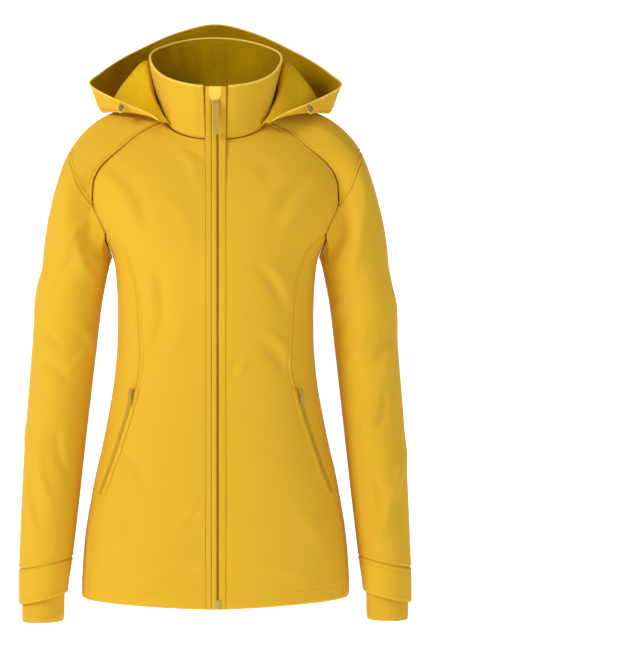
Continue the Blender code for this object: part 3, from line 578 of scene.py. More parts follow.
def creases(x, z, table):
    """Sum of soft ridges and troughs: a bell across each line, tapering to nothing at both ends."""
    total = np.zeros_like(x)
    for x0, z0, x1, z1, breadth, height in table:
        start, way = np.array([x0, z0]), np.array([x1 - x0, z1 - z0])
        length = np.hypot(*way)
        dx, dz = x - start[0], z - start[1]
        along = (dx * way[0] + dz * way[1]) / length**2
        bend = 0.10 * length * np.sin(math.pi * np.clip(along, 0, 1))
        off = (dx * way[1] - dz * way[0]) / length + bend
        taper = np.exp(-(np.abs(2 * along - 1) ** 3) * 1.1)
        side = np.where(off > 0, 0.8, 1.25)
        total += height * np.exp(-((off / (breadth * side)) ** 2)) * taper
    return total


def unrest(points, seed):
    """Slow uneven swell of filled-out cloth, from a few sine waves in three directions."""
    x, y, z = np.moveaxis(points, -1, 0)
    swell = np.sin(x / 31 + z / 57 + seed) + np.sin(z / 43 - y / 37 + 1.7 * seed)
    return 0.35 * (swell + 0.7 * np.sin(x / 19 - z / 83 + y / 29 + 2.9 * seed))


def shares(count, dense=0.0):
    """Steps from 0 to 1 that lie closer together near both ends; dense is how much closer."""
    t = np.linspace(0, 1, count + 1)
    return t - dense * np.sin(2 * math.pi * t) / (2 * math.pi)


# ---------------------------------------------------------------- meshes

def mesh_object(name, points, quads, materials, slots=None):
    """New object from points in mm and faces, each face with its material slot."""
    mesh = bpy.data.meshes.new(name)
    mesh.from_pydata((points * MM).tolist(), [], quads.tolist())
    mesh.polygons.foreach_set("use_smooth", np.ones(len(quads), bool))
    for each in materials:
        mesh.materials.append(each)
    if slots is not None:
        mesh.polygons.foreach_set("material_index", slots.astype(np.int32))
    mesh.update()
    made = bpy.data.objects.new(name, mesh)
    bpy.context.scene.collection.objects.link(made)
    return made


def shell(name, outer, normals, thickness, materials, left=True, cells=None):
    """Closed wall: the outer grid, the same grid moved in along its normals, and a rim on the free edges."""
    rows, columns = outer.shape[:2]
    count = rows * columns
    number = np.arange(count).reshape(rows, columns)
    quads = np.stack([number[:-1, :-1], number[:-1, 1:], number[1:, 1:], number[1:, :-1]], -1)
    quads = quads[cells] if cells is not None else quads.reshape(-1, 4)
    edges = np.concatenate([quads[:, [k, (k + 1) % 4]] for k in range(4)])
    free = edges[~np.isin(edges[:, 0] * count + edges[:, 1], edges[:, 1] * count + edges[:, 0])]
    rim = np.stack([free[:, 1], free[:, 0], free[:, 0] + count, free[:, 1] + count], -1)
    slots = np.r_[np.zeros(len(quads)), np.ones(len(quads)), np.zeros(len(rim))]
    faces = np.concatenate([quads, quads[:, ::-1] + count, rim])
    points = np.concatenate([outer.reshape(-1, 3), (outer - normals * thickness).reshape(-1, 3)])
    used, faces = np.unique(faces, return_inverse=True)
    faces = faces.reshape(-1, 4)
    points = points[used]
    if not left:
        points, faces = mirrored(points), faces[:, ::-1]
    return mesh_object(name, points, faces, materials, slots)


def stitches(name, lines, radius, left):
    """Row of short spindle-shaped threads along each line of (points, normals), set half into the cloth."""
    sides = 5
    turn = np.arange(sides) / sides * 2 * math.pi
    fat = np.array([0.25, 1.0, 1.0, 0.25])
    place = np.array([-0.5, -0.28, 0.28, 0.5]) * STITCH_LENGTH
    bands = len(fat)
    k, j = np.arange(bands - 1)[:, None] * sides, np.arange(sides)[None]
    after = (j + 1) % sides
    quad = np.stack([k + j, k + after, k + sides + after, k + sides + j], -1).reshape(1, -1, 4)
    points, quads, count = [], [], 0
    for line, normal in lines:
        reach = np.r_[0, np.cumsum(np.linalg.norm(np.diff(line, axis=0), axis=1))]
        number = max(int(reach[-1] / (STITCH_LENGTH + STITCH_GAP)), 1)
        at = (np.arange(number) + 0.5) / number * reach[-1]

        def read(values, at):
            return np.stack([np.interp(at, reach, values[:, k]) for k in range(3)], -1)

        middle, up = read(line, at), read(normal, at)
        way = read(line, np.clip(at + 0.6, 0, reach[-1])) - read(line, np.clip(at - 0.6, 0, reach[-1]))
        way /= np.linalg.norm(way, axis=1, keepdims=True)
        up /= np.linalg.norm(up, axis=1, keepdims=True)
        ring = (np.cos(turn)[:, None, None] * np.cross(up, way) + np.sin(turn)[:, None, None] * up) * radius
        body = middle + up * 0.12 + way * place[:, None, None, None] + ring * fat[:, None, None, None]
        points.append(body.transpose(2, 0, 1, 3).reshape(-1, 3))
        quads.append((quad + (np.arange(number) * bands * sides)[:, None, None] + count).reshape(-1, 4))
        count += number * bands * sides
    points, quads = np.concatenate(points), np.concatenate(quads)
    if not left:
        points, quads = mirrored(points), quads[:, ::-1]
    return mesh_object(name, points, quads, [material("thread")])


def seam_line(grid, normals, axis, from_end, offset):
    """Line on a dressed grid at an offset from one edge: linear between the two columns round the offset."""
    grid, normals = np.moveaxis(grid, axis, 1), np.moveaxis(normals, axis, 1)
    if from_end:
        grid, normals = grid[:, ::-1], normals[:, ::-1]
    reach = from_edges(grid, 1)[0]
    k = np.clip((reach < offset).sum(1) - 1, 0, reach.shape[1] - 2)
    row = np.arange(len(grid))
    share = ((offset - reach[row, k]) / (reach[row, k + 1] - reach[row, k]))[:, None]
    return grid[row, k] * (1 - share) + grid[row, k + 1] * share, normals[row, k]


# ---------------------------------------------------------------- materials

def linear(hexa):
    """sRGB hex to linear light."""
    raw = np.array([int(hexa[k:k + 2], 16) / 255 for k in (1, 3, 5)])
    return (*np.where(raw <= 0.04045, raw / 12.92, ((raw + 0.055) / 1.055) ** 2.4), 1.0)


def node(tree, kind, inputs=None, **settings):
    """Adds a node, sets its properties, and sets or links its inputs."""
    made = tree.nodes.new("ShaderNode" + kind)
    for key, value in settings.items():
        setattr(made, key, value)
    for key, value in (inputs or {}).items():
        if isinstance(value, bpy.types.NodeSocket):
            tree.links.new(value, made.inputs[key])
        else:
            made.inputs[key].default_value = value
    return made


def empty_material(name):
    """New material without nodes, its tree, and the object coordinates that its patterns are laid in."""
    made = bpy.data.materials.new(name)
    made.use_nodes = True
    made.node_tree.nodes.clear()
    return made, made.node_tree, node(made.node_tree, "TexCoord").outputs["Object"]


def cloth_material(name, deep, plain, bright, weave, rough, sheen, relief, crimp):
    """Cloth: slow patches of three near tones, a fine weave bump of real thread pitch, small crimps, sheen."""
    made, tree, where = empty_material(name)
    patch, fleck, small = (
        node(tree, "TexNoise", {"Vector": where, "Scale": 1 / (size * MM), "Detail": detail}).outputs["Fac"]
        for size, detail in ((60, 3.0), (1.6, 2.0), (11, 4.0)))
    tone = node(tree, "Math", {0: patch, 1: 0.62}, operation="MULTIPLY").outputs[0]
    tone = node(tree, "Math", {0: fleck, 1: 0.38, 2: tone}, operation="MULTIPLY_ADD").outputs[0]
    ramp = node(tree, "ValToRGB", {"Fac": tone})
    low, high = ramp.color_ramp.elements
    low.position, low.color = 0.36, linear(deep)
    high.position, high.color = 0.66, linear(bright)
    ramp.color_ramp.elements.new(0.5).color = linear(plain)
    thread = node(tree, "TexVoronoi", {"Vector": where, "Scale": 1 / (weave * MM)}).outputs["Distance"]
    fine = node(tree, "Bump", {"Height": thread, "Strength": relief, "Distance": 0.25 * MM}).outputs["Normal"]
    wavy = node(tree, "Bump", {"Height": small, "Strength": crimp, "Distance": 1.2 * MM, "Normal": fine})
    gloss = node(tree, "MapRange", {"Value": fleck, "To Min": rough - 0.08, "To Max": rough + 0.08})
    shader = node(tree, "BsdfPrincipled", {
        "Base Color": ramp.outputs["Color"], "Roughness": gloss.outputs["Result"],
        "Normal": wavy.outputs["Normal"], "Specular IOR Level": 0.05,
        "Sheen Weight": sheen, "Sheen Roughness": 0.5, "Sheen Tint": linear(bright)})
    node(tree, "OutputMaterial", {"Surface": shader.outputs[0]})
    return made


def hard_material(name, plain, worn, metallic, rough):
    """Painted metal or moulded plastic: worn brighter on convex edges, with fine specks in its gloss."""
    made, tree, where = empty_material(name)
    speck = node(tree, "TexNoise", {"Vector": where, "Scale": 1 / (2.5 * MM), "Detail": 4.0}).outputs["Fac"]
    edge = node(tree, "NewGeometry").outputs["Pointiness"]
    share = node(tree, "MapRange", {"Value": edge, "From Min": 0.50, "From Max": 0.58}).outputs["Result"]
    share = node(tree, "Math", {0: share, 1: speck}, operation="MULTIPLY").outputs[0]
    tones = {"Factor": share, 6: linear(plain), 7: linear(worn)}
    colour = node(tree, "Mix", tones, data_type="RGBA").outputs[2]
    gloss = node(tree, "MapRange", {"Value": speck, "To Min": rough - 0.1, "To Max": rough + 0.12})
    bump = node(tree, "Bump", {"Height": speck, "Strength": 0.12, "Distance": 0.1 * MM})
    shader = node(tree, "BsdfPrincipled", {
        "Base Color": colour, "Roughness": gloss.outputs["Result"], "Metallic": metallic,
        "Normal": bump.outputs["Normal"]})
    node(tree, "OutputMaterial", {"Surface": shader.outputs[0]})
    return made


CLOTHS = {  # deep, plain and bright tone, thread pitch in mm, roughness, sheen, weave relief, crimp
    # Bonded softshell: matt smooth face, hardly any bloom, barely visible thread.
    "softshell": ("#cc9b00", "#dcac02", "#e6b908", 0.45, 0.78, 0.03, 0.30, 0.35),
    # Fleece backing inside the hood and body: woolly, and lighter as a painted light, for the light that the hood's
    # inside catches.
    "fleece": ("#cf9f08", "#dcae14", "#e8bd28", 1.3, 0.94, 0.08, 0.9, 0.5),
    # Smooth lining of the collar and the hood's back: the cloth in its deepest tone, painted shade for the shade that
    # falls inside the collar and the hood.
    "lining": ("#946e00", "#a47c00", "#b38a04", 0.6, 0.85, 0.02, 0.4, 0.4),
    # Rolled edge binding: the same cloth pulled tight, so smoother, and painted lighter as a highlight where the
    # rolled edges catch the light.
    "binding": ("#dfb010", "#eabf1e", "#f2cc34", 0.45, 0.70, 0.05, 0.2, 0.1),
    # Knit of the inner cuffs: soft and matt, its ribs are in the surface.
    "knit": ("#c08e00", "#d8a804", "#e6b812", 0.8, 0.9, 0.08, 0.8, 0.2),
    # Woven zip tape, deep in its groove: its dark tones are painted shade of the groove.
    "zip_tape": ("#7d5603", "#946804", "#a87808", 0.6, 0.78, 0.2, 0.6, 0.05),
    # Sewing thread: a shade lighter than the cloth, with a slight gloss.
    "thread": ("#dcae10", "#ebbe22", "#f4cc38", 0.2, 0.55, 0.05, 0.3, 0.0),
    # Elastic cord of the hood: cream.
    "cord": ("#cdb04a", "#dcc062", "#e8d080", 0.5, 0.7, 0.3, 0.7, 0.1),
}
HARD_FINISHES = {  # plain tone, worn tone, metallic, roughness
    # Moulded coil and lock: a deeper yellow plastic.
    "coil": ("#8a6206", "#b8860f", 0.0, 0.42),
    # Painted zip metal: dark gold with brighter worn edges.
    "zip_metal": ("#8f6a12", "#e2c46a", 0.55, 0.38),
    # Snap: grey-mauve enamel.
    "snap": ("#8d808c", "#c9c0c8", 0.3, 0.35),
}


def material(name):
    """The named material, made on first use."""
    if name in bpy.data.materials:
        return bpy.data.materials[name]
    return cloth_material(name, *CLOTHS[name]) if name in CLOTHS else hard_material(name, *HARD_FINISHES[name])


# ---------------------------------------------------------------- garment pieces

def seam_fade(d, reach=9.0):
    """0 at a seam, 1 away from it, so that folds die out where two cloths are sewn."""
    return 1 - ridge(d, 0, reach, 1)


def body_folds(grid, side):
    """Creases of the front and the back, and the swell, in the garment's true left and right."""
    true = grid * np.array([side, 1, 1])
    x, y, z = np.moveaxis(true, -1, 0)
    ahead = np.clip(0.5 - y / 40, 0, 1)
    middle = 1 - ridge(x, 0, 22, 1) * (y < 0)
    folds = creases(x, z, FRONT_CREASES) * ahead + creases(x, z, BACK_CREASES) * (1 - ahead)
    return (FOLD_GAIN * folds + unrest(true, 0.4)) * middle


def hem_relief(d, along):
    """Hem turned up inside: edge rolled in, a flat band, and one topstitched dip with gathers over it."""
    wave = np.sin(along / 6.3) + 0.6 * np.sin(along / 10.1 + 1)
    return (-ridge(d, 0, 1.6, 1.1) - ridge(d, HEM_STITCH, 1.1, 0.5) + ridge(d, HEM_STITCH + 4, 3, 0.4)
            + wave * ridge(d, HEM_STITCH, 8, 0.13))


def sew(made, extra, name, cad_node, grid, relief, rows=(), finishes=("softshell", "fleece"), wall=WALL,
        side=1, cells=None, wrap=False, radius=THREAD):
    """Moves a panel along its normals by its relief, closes its wall and sews its topstitching.

    Each row of topstitching is an axis, whether it is measured from the far end, its offset and, where it has
    one, the part of the grid that it stays in. The piece and its thread join the two lists."""
    normals = normals_of(grid, wrap)
    dressed = grid + normals * relief[..., None]
    piece = shell(name, dressed, normals, wall, [material(each) for each in finishes], side > 0, cells)
    made.append((piece, grid, cad_node, cells))
    if rows:
        lines = [seam_line(dressed[tuple(part)], normals[tuple(part)], axis, from_end, offset)
                 for axis, from_end, offset, *part in rows]
        extra.append(stitches(name.replace("cloth_", "stitches_"), lines, radius, side > 0))
    return dressed, normals


def paired(name, cad_node, panel, **how):
    """Maker of the left and the right piece of one panel.

    The panel's function takes the side, 1 for left and -1 for right, and gives its grid as on the left, its relief
    and its rows of topstitching."""
    def make():
        made, extra = [], []
        for word, side in SIDES:
            sew(made, extra, f"{name}_{word}", f"{cad_node}_{word}", *panel(side), side=side, **how)
        return made, extra
    return make


def below_chest(low_angle, high_angle, across):
    """Grid between two seams from the hem to the armhole, its rows closer together at both ends."""
    return lower_body(low_angle, high_angle, shares(LOWER, 0.25), across)


def whole_of(half):
    """Half a grid and its mirror image, joined at the half's last column."""
    return np.concatenate([half, mirrored(half)[:, -2::-1]], 1)


def front_panel(side):
    """Front from the hem to the neck, stitched beside the panel seam; above the chest folds die at that seam."""
    across = shares(52, 0.7)
    upper = upper_body(shares(UPPER, 0.3), across)
    grid = np.concatenate([below_chest(zip_edge, seam_front, across), upper[1:]])
    seam = from_edges(grid, 1)[1]
    hem, neck = from_edges(grid, 0)
    height = grid[..., 2]
    relief = seam_relief(seam) + pucker(seam, height, 1.0 + side) + seam_relief(neck, False)
    relief += hem_relief(hem, grid[..., 0] * side)
    calm = np.where(height > CHEST_LINE, seam_fade(seam), 1) * seam_fade(neck) * seam_fade(hem, 6)
    return grid, relief + body_folds(grid, side) * calm, [(1, True, STITCH_IN), (0, False, HEM_STITCH)]


def side_panel(side):
    """Side front below the arm: three plain seams, a hem, and the front's folds running on."""
    grid = below_chest(seam_front, side_line, shares(30, 0.7))
    seam, behind = from_edges(grid, 1)
    hem, top = from_edges(grid, 0)
    relief = seam_relief(seam, False) + seam_relief(behind, False) + seam_relief(top, False)
    relief += hem_relief(hem, grid[..., 0] * side) + pucker(seam, grid[..., 2], 2.0 + side)
    relief += body_folds(grid, side) * seam_fade(top) * seam_fade(hem, 6)
    return grid, relief, [(0, False, HEM_STITCH)]


def make_back():
    """Back: one grid from the hem to the neck, without its cells beyond the raglan seams."""
    side = below_chest(side_line, seam_back, shares(BACK_SIDE, 0.5))
    middle = below_chest(seam_back, centre_back, shares(48, 0.5))
    low = np.concatenate([side, middle[:, 1:]], 1)
    high = upper_body(shares(UPPER, 0.3), shares(48, 0.5), False)[1:, ::-1]
    step = high[:, :1] - high[:, 1:2]
    beyond = high[:, :1] + step * np.arange(BACK_SIDE, 0, -1)[None, :, None]
    half = np.concatenate([low, np.concatenate([beyond, high], 1)])
    cells = np.ones((half.shape[0] - 1, half.shape[1] - 1), bool)
    cells[LOWER:, :BACK_SIDE] = False
    cells = np.concatenate([cells, cells[:, ::-1]], 1)
    grid = whole_of(half)
    hem, neck = from_edges(grid, 0)
    outer = np.minimum(*from_edges(grid, 1))
    inside = slice(BACK_SIDE, grid.shape[1] - BACK_SIDE)
    raglan, armhole_edge = np.full(outer.shape, FAR), np.full(outer.shape, FAR)
    raglan[LOWER:, inside] = np.minimum(*from_edges(grid[:, inside], 1))[LOWER:]
    below = from_edges(grid[:LOWER + 1], 0)[1]
    for columns in (slice(None, BACK_SIDE + 1), slice(-BACK_SIDE - 1, None)):
        armhole_edge[:LOWER + 1, columns] = below[:, columns]
    seam = np.where(np.arange(len(grid))[:, None] < LOWER + 1, outer, raglan)
    relief = seam_relief(seam, False) + seam_relief(neck, False) * (neck < 40)
    relief += hem_relief(hem, grid[..., 0]) - ridge(armhole_edge, 0, 1.5, 1.3)
    relief += pucker(seam, grid[..., 2], 4.0)
    calm = seam_fade(np.minimum(raglan, armhole_edge)) * seam_fade(neck) * seam_fade(hem, 6)
    relief += body_folds(grid, 1) * calm
    made, extra = [], []
    sew(made, extra, "cloth_back", "back", grid, relief, [(0, False, HEM_STITCH)], cells=cells)
    return made, extra


def yoke_panel(side):
    """Yoke: stitched inside three of its seams; the neck seam is plain, and the folds die out at all four."""
    grid = yoke(shares(60, 0.5), shares(84, 0.5))
    front, behind = from_edges(grid, 1)
    outer, neck = from_edges(grid, 0)
    along = grid[..., 2] + grid[..., 1]
    relief = sum(seam_relief(d) + pucker(d, along, seed + side)
                 for d, seed in ((front, 5.0), (behind, 6.0), (outer, 7.0))) + seam_relief(neck, False)
    near = np.minimum(np.minimum(front, behind), np.minimum(outer, neck))
    relief += (body_folds(grid, side) + unrest(grid, 1.5 + side)) * seam_fade(near)
    inner = (slice(None, 56), slice(5, -5))
    return grid, relief, [(1, False, 4.5, *inner), (1, True, 4.5, *inner), (0, False, STITCH_IN)]


def underarm_fade(place):
    """0 at the underarm seam and 1 round the rest of the sleeve; place runs from 0 to 2."""
    return 1 - ridge(np.abs(place - 1), 1, 0.06, 1)


def sleeve_panel(side):
    """Sleeve: its creases are drawn in mm round the arm, and run on across the underarm seam."""
    turn = np.linspace(0, 1, 113)
    grid = sleeve(shares(165, 0.2), turn)
    cuff, top = from_edges(grid, 0)
    place, height = 2 * turn[None] + 0 * cuff, grid[..., 2]
    table = [(a * ARM_REACH, b, c * ARM_REACH, d, e, f)
             for a, b, c, d, e, f in (RIGHT_CREASES if side > 0 else LEFT_CREASES)]
    folds = sum(creases((place + turns) * ARM_REACH, height, table) for turns in (0, -2, 2))
    relief = seam_relief(top, False) + seam_relief(cuff, False) + pucker(top, place * ARM_REACH, 8.0 + side)
    relief += pucker(cuff, place * ARM_REACH, 3.0 + side)
    swell = unrest(grid, 2.6 + side) * underarm_fade(place)
    relief += (FOLD_GAIN * folds + swell) * seam_fade(top) * seam_fade(cuff, 6)
    return grid, relief - ridge(np.abs(place - 1), 1, 0.012, 0.8), [(0, False, 5.0)]


def arm_tube(low, high, share, turn):
    """Closed length of the sleeve between two heights."""
    level = low + (high - low) * share[:, None]
    return arm(level + 0 * turn, turn[None] + 0 * level)


def cuff_panel(side):
    """Cuff band: a rolled lower edge, a row of stitches 7 mm above it, and gathers over that row."""
    turn = np.linspace(0, 2, 113)
    grid = arm_tube(SLEEVE_END, CUFF_SEAM - 0.3, shares(32, 0.5), turn)
    edge, top = from_edges(grid, 0)
    along = turn[None] * 110 + 0 * edge
    relief = seam_relief(top) + pucker(top, along, 1.3 + side) - ridge(edge, 0, 1.5, 1.0)
    relief += np.sin(along / 6 + side) * ridge(edge, 7, 6, 0.1) - ridge(edge, 7, 0.9, 0.45)
    relief += unrest(grid, 5.0 + side) * 0.8 * underarm_fade(turn)
    return grid, relief, [(0, False, 7.0), (0, True, STITCH_IN)]


def knit_panel(side):
    """Knit tube inside the cuff: ribs are a sine round the tube, 76 of them, fading at the rolled end."""
    turn = np.linspace(0, 2, 381)
    grid = arm_tube(KNIT_END, KNIT_TOP, shares(18, 0.3), turn)
    axis = np.array(KNIT_AXIS)
    grid[..., :2] = axis + (grid[..., :2] - axis) * KNIT_SHARE
    grid[..., 2] = np.maximum(grid[..., 2], KNIT_END)
    grid[0, :, 2] = KNIT_END
    edge = from_edges(grid, 0)[0]
    ribs = 0.35 * np.sin(76 * math.pi * turn)[None] * (1 - ridge(edge, 0, 4, 0.6))
    return grid, ribs - ridge(edge, 0, 1.6, 1)


def tube(name, line, radius, finish, sides=10):
    """Round cord or rolled edge: a circle of this radius, or one radius a point, carried along a line."""
    way = np.gradient(line, axis=0)
    way /= np.linalg.norm(way, axis=1, keepdims=True)
    first = np.cross(way, np.array([0.0, 0.0, 1.0]) + 0 * way)
    weak = np.linalg.norm(first, axis=1, keepdims=True) < 0.2
    first = np.where(weak, np.cross(way, np.array([0.0, 1.0, 0.0]) + 0 * way), first)
    first /= np.linalg.norm(first, axis=1, keepdims=True)
    second = np.cross(way, first)
    turn = np.arange(sides) / sides * 2 * math.pi
    ring = np.cos(turn)[None, :, None] * first[:, None] + np.sin(turn)[None, :, None] * second[:, None]
    points = line[:, None] + ring * np.broadcast_to(radius, len(line))[:, None, None]
    number = np.arange(len(line) * sides).reshape(len(line), sides)
    after = np.roll(number, -1, 1)
    quads = np.stack([number[:-1], after[:-1], after[1:], number[1:]], -1).reshape(-1, 4)
    caps = []
    for row, order in ((number[0], -1), (number[-1], 1)):
        row = row[::order]
        caps += [row[[k, k + 1, sides - 2 - k, sides - 1 - k]] for k in range(sides // 2 - 1)]
    faces = np.concatenate([quads, np.array(caps)])
    return mesh_object(name, points.reshape(-1, 3), faces, [material(finish)])


def collar_points(angle, share):
    """Points between the neck seam (0) and the collar's top (1)."""
    share = share[:, None, None]
    return oval(NECK, angle) * (1 - share) + oval(COLLAR_TOP, angle) * share


def make_collar():
    """Stand collar: straight from the neck seam to its top, with soft upright folds and a rolled edge."""
    start = math.asin((ZIP_HALF + 0.3) / NECK["half_width"])
    angle = np.linspace(start, 2 * math.pi - start, 281)
    grid = collar_points(angle, 0.006 + 0.994 * shares(44, 0.5))
    seam, top = from_edges(grid, 0)
    edge = np.minimum(*from_edges(grid, 1))
    along = angle[None] * COLLAR_RADIUS + 0 * seam
    relief = ridge(seam, 3.2, 1.8, 0.4) - ridge(seam, 0, 1.5, 0.9) - ridge(top, 9, 0.9, 0.45)
    folds = sum(ridge(along, math.radians(middle) * COLLAR_RADIUS + lean * seam, breadth, height)
                for middle, lean, breadth, height in COLLAR_FOLDS)
    calm = seam_fade(seam, 14) * seam_fade(top, 6) * seam_fade(edge, 10)
    relief += pucker(top, along, 3.1) + (folds + unrest(grid, 3.7)) * calm
    made, extra = [], []
    # The collar's inside takes the lining: the cloth painted darker as the shade inside the collar.
    dressed, normals = sew(made, extra, "cloth_collar", "collar", grid, relief, [(0, True, 9.0)],
                           ("softshell", "lining"), wall=2.4)
    rim = dressed[-1] - normals[-1] * 1.2 + np.array([0, 0, -0.6])
    # The collar's rolled edge takes the binding: the cloth painted lighter as its highlight.
    extra.append(tube("collar_rolled_edge", rim, 1.7, "binding"))
    return made, extra


def hood_side(side):
    """Side of the laid-back hood: deep soft folds fan out from the neck and die at the seams."""
    turn = np.linspace(HOOD_FRONT, HOOD_SEAM, 112)
    grid = hood(BAND_SHARE * shares(96, 0.3), turn)
    low, high = from_edges(grid, 0)
    front, centre = from_edges(grid, 1)
    angle, reach = np.radians(turn)[None] + 0 * low, low / (low + high)
    fan = np.sin(angle * 9 + 4.5 * reach) + 0.6 * np.sin(angle * 15.7 - 2.2 * reach + 0.8)
    fan *= 1.1 * np.sin(math.pi * BAND_SHARE * reach) ** 0.7
    relief = seam_relief(low, False) + seam_relief(high, False) + seam_relief(centre)
    relief += fan * seam_fade(centre) * seam_fade(high) * seam_fade(low) * seam_fade(front, 25)
    return grid, relief, [(1, True, 5.5)]


def make_hood():
    """Hood: its two sides, the centre between them, and the band round its opening with a rolled rim."""
    # The sides keep the fleece inside: the cloth painted lighter there as the light that the hood's inside catches.
    made, extra = paired("cloth_hood_side", "hood_side", hood_side)()
    grid = whole_of(hood(BAND_SHARE * shares(96, 0.3), np.linspace(HOOD_SEAM, 180, 34)))
    relief = sum(seam_relief(d, False) for d in (*from_edges(grid, 0), *from_edges(grid, 1)))
    # The centre's inside takes the lining: the cloth painted darker as the shade inside the hood.
    sew(made, extra, "cloth_hood_centre", "hood_centre", grid, relief, finishes=("softshell", "lining"))
    grid = whole_of(hood(BAND_SHARE + (1 - BAND_SHARE) * shares(20, 0.5), np.linspace(HOOD_FRONT, 180, 150)))
    low, high = from_edges(grid, 0)
    along = np.arange(grid.shape[1])[None] * 2.8 + 0 * low
    relief = seam_relief(low, False) + pucker(low, along, 2.0)
    relief += pucker(high, along, 5.0) - ridge(high, 9, 1.0, 0.5)
    # The band's inside takes the lining too: painted shade inside the hood.
    dressed, normals = sew(made, extra, "cloth_hood_band", "hood_band", grid, relief, [(0, True, 9.0)],
                           ("softshell", "lining"))
    # The hood's rolled edge takes the binding: the cloth painted lighter as its highlight.
    extra.append(tube("hood_rolled_edge", dressed[-1] - normals[-1] * 0.6, 1.3, "binding"))
    return made, extra


def strip(low_x, high_x, rows, across):
    """Band up the centre front between two distances from the middle."""
    line = centre_line(np.linspace(0, 1, rows + 1))
    x = low_x + (high_x - low_x) * across
    x = x[None] + 0 * line[:, :1]
    return np.stack([x, line[:, :1] + 0 * x, line[:, 1:] + 0 * x], -1)


def make_placket():
    """Three flat bands over the zip: edges rolled in, a stitched dip near each edge, and slow puckers."""
    made, extra = [], []
    for k, (name, low_x, high_x, stitched) in enumerate(PLACKETS):
        grid = strip(low_x, high_x, 480, shares(14, 0.5))
        near, far = from_edges(grid, 1)
        edge = np.minimum(near, far)
        along = from_edges(grid, 0)[0]
        slow = np.sin(along / 23 + k) + np.sin(along / 41 + 2 * k) + 0.6 * np.sin(along / 9.5 + 3 * k)
        relief = 0.6 - ridge(edge, 0, 0.7, 0.9) - ridge(edge, 1.9, 0.5, 0.3) + 0.22 * slow
        relief += np.sin(along / 3.1 + near) * ridge(edge, 1.9, 2, 0.07)
        sew(made, extra, f"cloth_{name}", name, grid, relief, [(1, end, 1.9) for end in stitched],
            ("softshell", "softshell"), wall=2.0, radius=FINE_THREAD)
    # The zip tape, under the bands, is painted dark as the shade in its groove.
    tape = strip(-15.5, 15.5, 300, shares(8))
    sew(made, extra, "cloth_zip_tape", "zip_tape", tape, np.full(tape.shape[:2], -2.4),
        finishes=("zip_tape", "zip_tape"), wall=0.9)
    guard = strip(-9.5, 8.0, 1500, shares(24, 0.5))
    guard = guard[guard[:, 0, 2] > CHIN_GUARD_LOW]
    share = np.linspace(0, 1, len(guard))[:, None]
    taper = 0.42 + 0.58 * np.clip(share / 0.45, 0, 1) ** 0.8
    guard[..., 0] = (guard[..., 0] - CHIN_GUARD_MIDDLE) * taper + CHIN_GUARD_MIDDLE
    edge = np.minimum(*from_edges(guard, 1))
    relief = 2.4 - ridge(edge, 0, 0.8, 0.9) - ridge(edge, 2.2, 0.5, 0.25)
    # The chin guard takes the binding: the cloth painted lighter as a highlight.
    sew(made, extra, "cloth_chin_guard", "chin_guard", guard, relief, finishes=("binding", "binding"))
    return made, extra


def on_body(slot, *pieces):
    """The pieces ride on the root body, with this material slot."""
    for each in pieces:
        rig.ride(each, "root")
        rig.slot(each, slot)


def make_hood_cords():
    """Loop of elastic cord with a lock at each end of the hood's band: both its ends enter the band."""
    rim = hood(np.array([1.0]), np.array([70.0, 76.0]))[0]
    t = np.linspace(0, 1, 31)
    way = (rim[1] - rim[0]) / np.linalg.norm(rim[1] - rim[0])
    down = np.array([0.25, -0.50, -0.83])
    base = rim.mean(0) + np.array([0, -1.5, -1.0])
    wide = CORD_GAP / 2 * np.cos(math.pi * t) * (1 + 0.4 * np.sin(math.pi * t))
    loop = base - way * wide[:, None] + down * (CORD_DROP * np.sin(math.pi * t) ** 0.85)[:, None]
    lock = base + down * np.linspace(3.5, 11.5, 7)[:, None]
    for word, side in SIDES:
        turned = loop * np.array([side, 1, 1])
        cord = tube(f"hood_cord_{word}", turned, CORD_DIAMETER / 2, "cord")
        barrel = tube(f"hood_cord_lock_{word}", lock * np.array([side, 1, 1]),
                      np.array([2.2, 3.3, 3.6, 3.2, 3.6, 3.3, 2.2]), "coil", sides=16)
        on_body("binding", cord, barrel)
        length = np.linalg.norm(np.diff(turned, axis=0), axis=1).sum()
        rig.cord(cord, exit=tuple(turned[0] * MM), length=length * MM, diameter=CORD_DIAMETER * MM,
                far_end="object", stiffness="medium", lay="loose", path=(turned * MM).tolist(),
                with_pieces=[barrel])


def make_snaps():
    """Snap at each side of the neck seam: a low dome on the collar, turned to its normal."""
    angle = np.radians([SNAP_TURN, SNAP_TURN + 1])
    foot = collar_points(angle[None], np.array([0.14, 0.16]))
    normal = normals_of(foot)[0, 0]
    line = foot[0, 0] + normal * np.array([-0.5, 0.9, 1.7, 2.2])[:, None]
    for word, side in SIDES:
        snap = tube(f"snap_{word}", line * np.array([side, 1, 1]), np.array([4.4, 4.6, 3.8, 0.6]), "snap", sides=28)
        on_body("zip_metal", snap)


def make_zip_foot():
    """Box at the zip's lower end: a short thick band over the coil with its edges rolled in."""
    grid = strip(-1.5, 7.5, 1500, shares(12, 0.5))
    grid = grid[grid[:, 0, 2] < ZIP_FOOT_TOP]
    edge = np.minimum(np.minimum(*from_edges(grid, 1)), np.minimum(*from_edges(grid, 0)))
    relief = 2.0 - ridge(edge, 0, 0.8, 0.9)
    normals = normals_of(grid)
    on_body("zip_metal", shell("zip_foot", grid + normals * relief[..., None], normals, 2.6,
                               [material("zip_metal")] * 2))


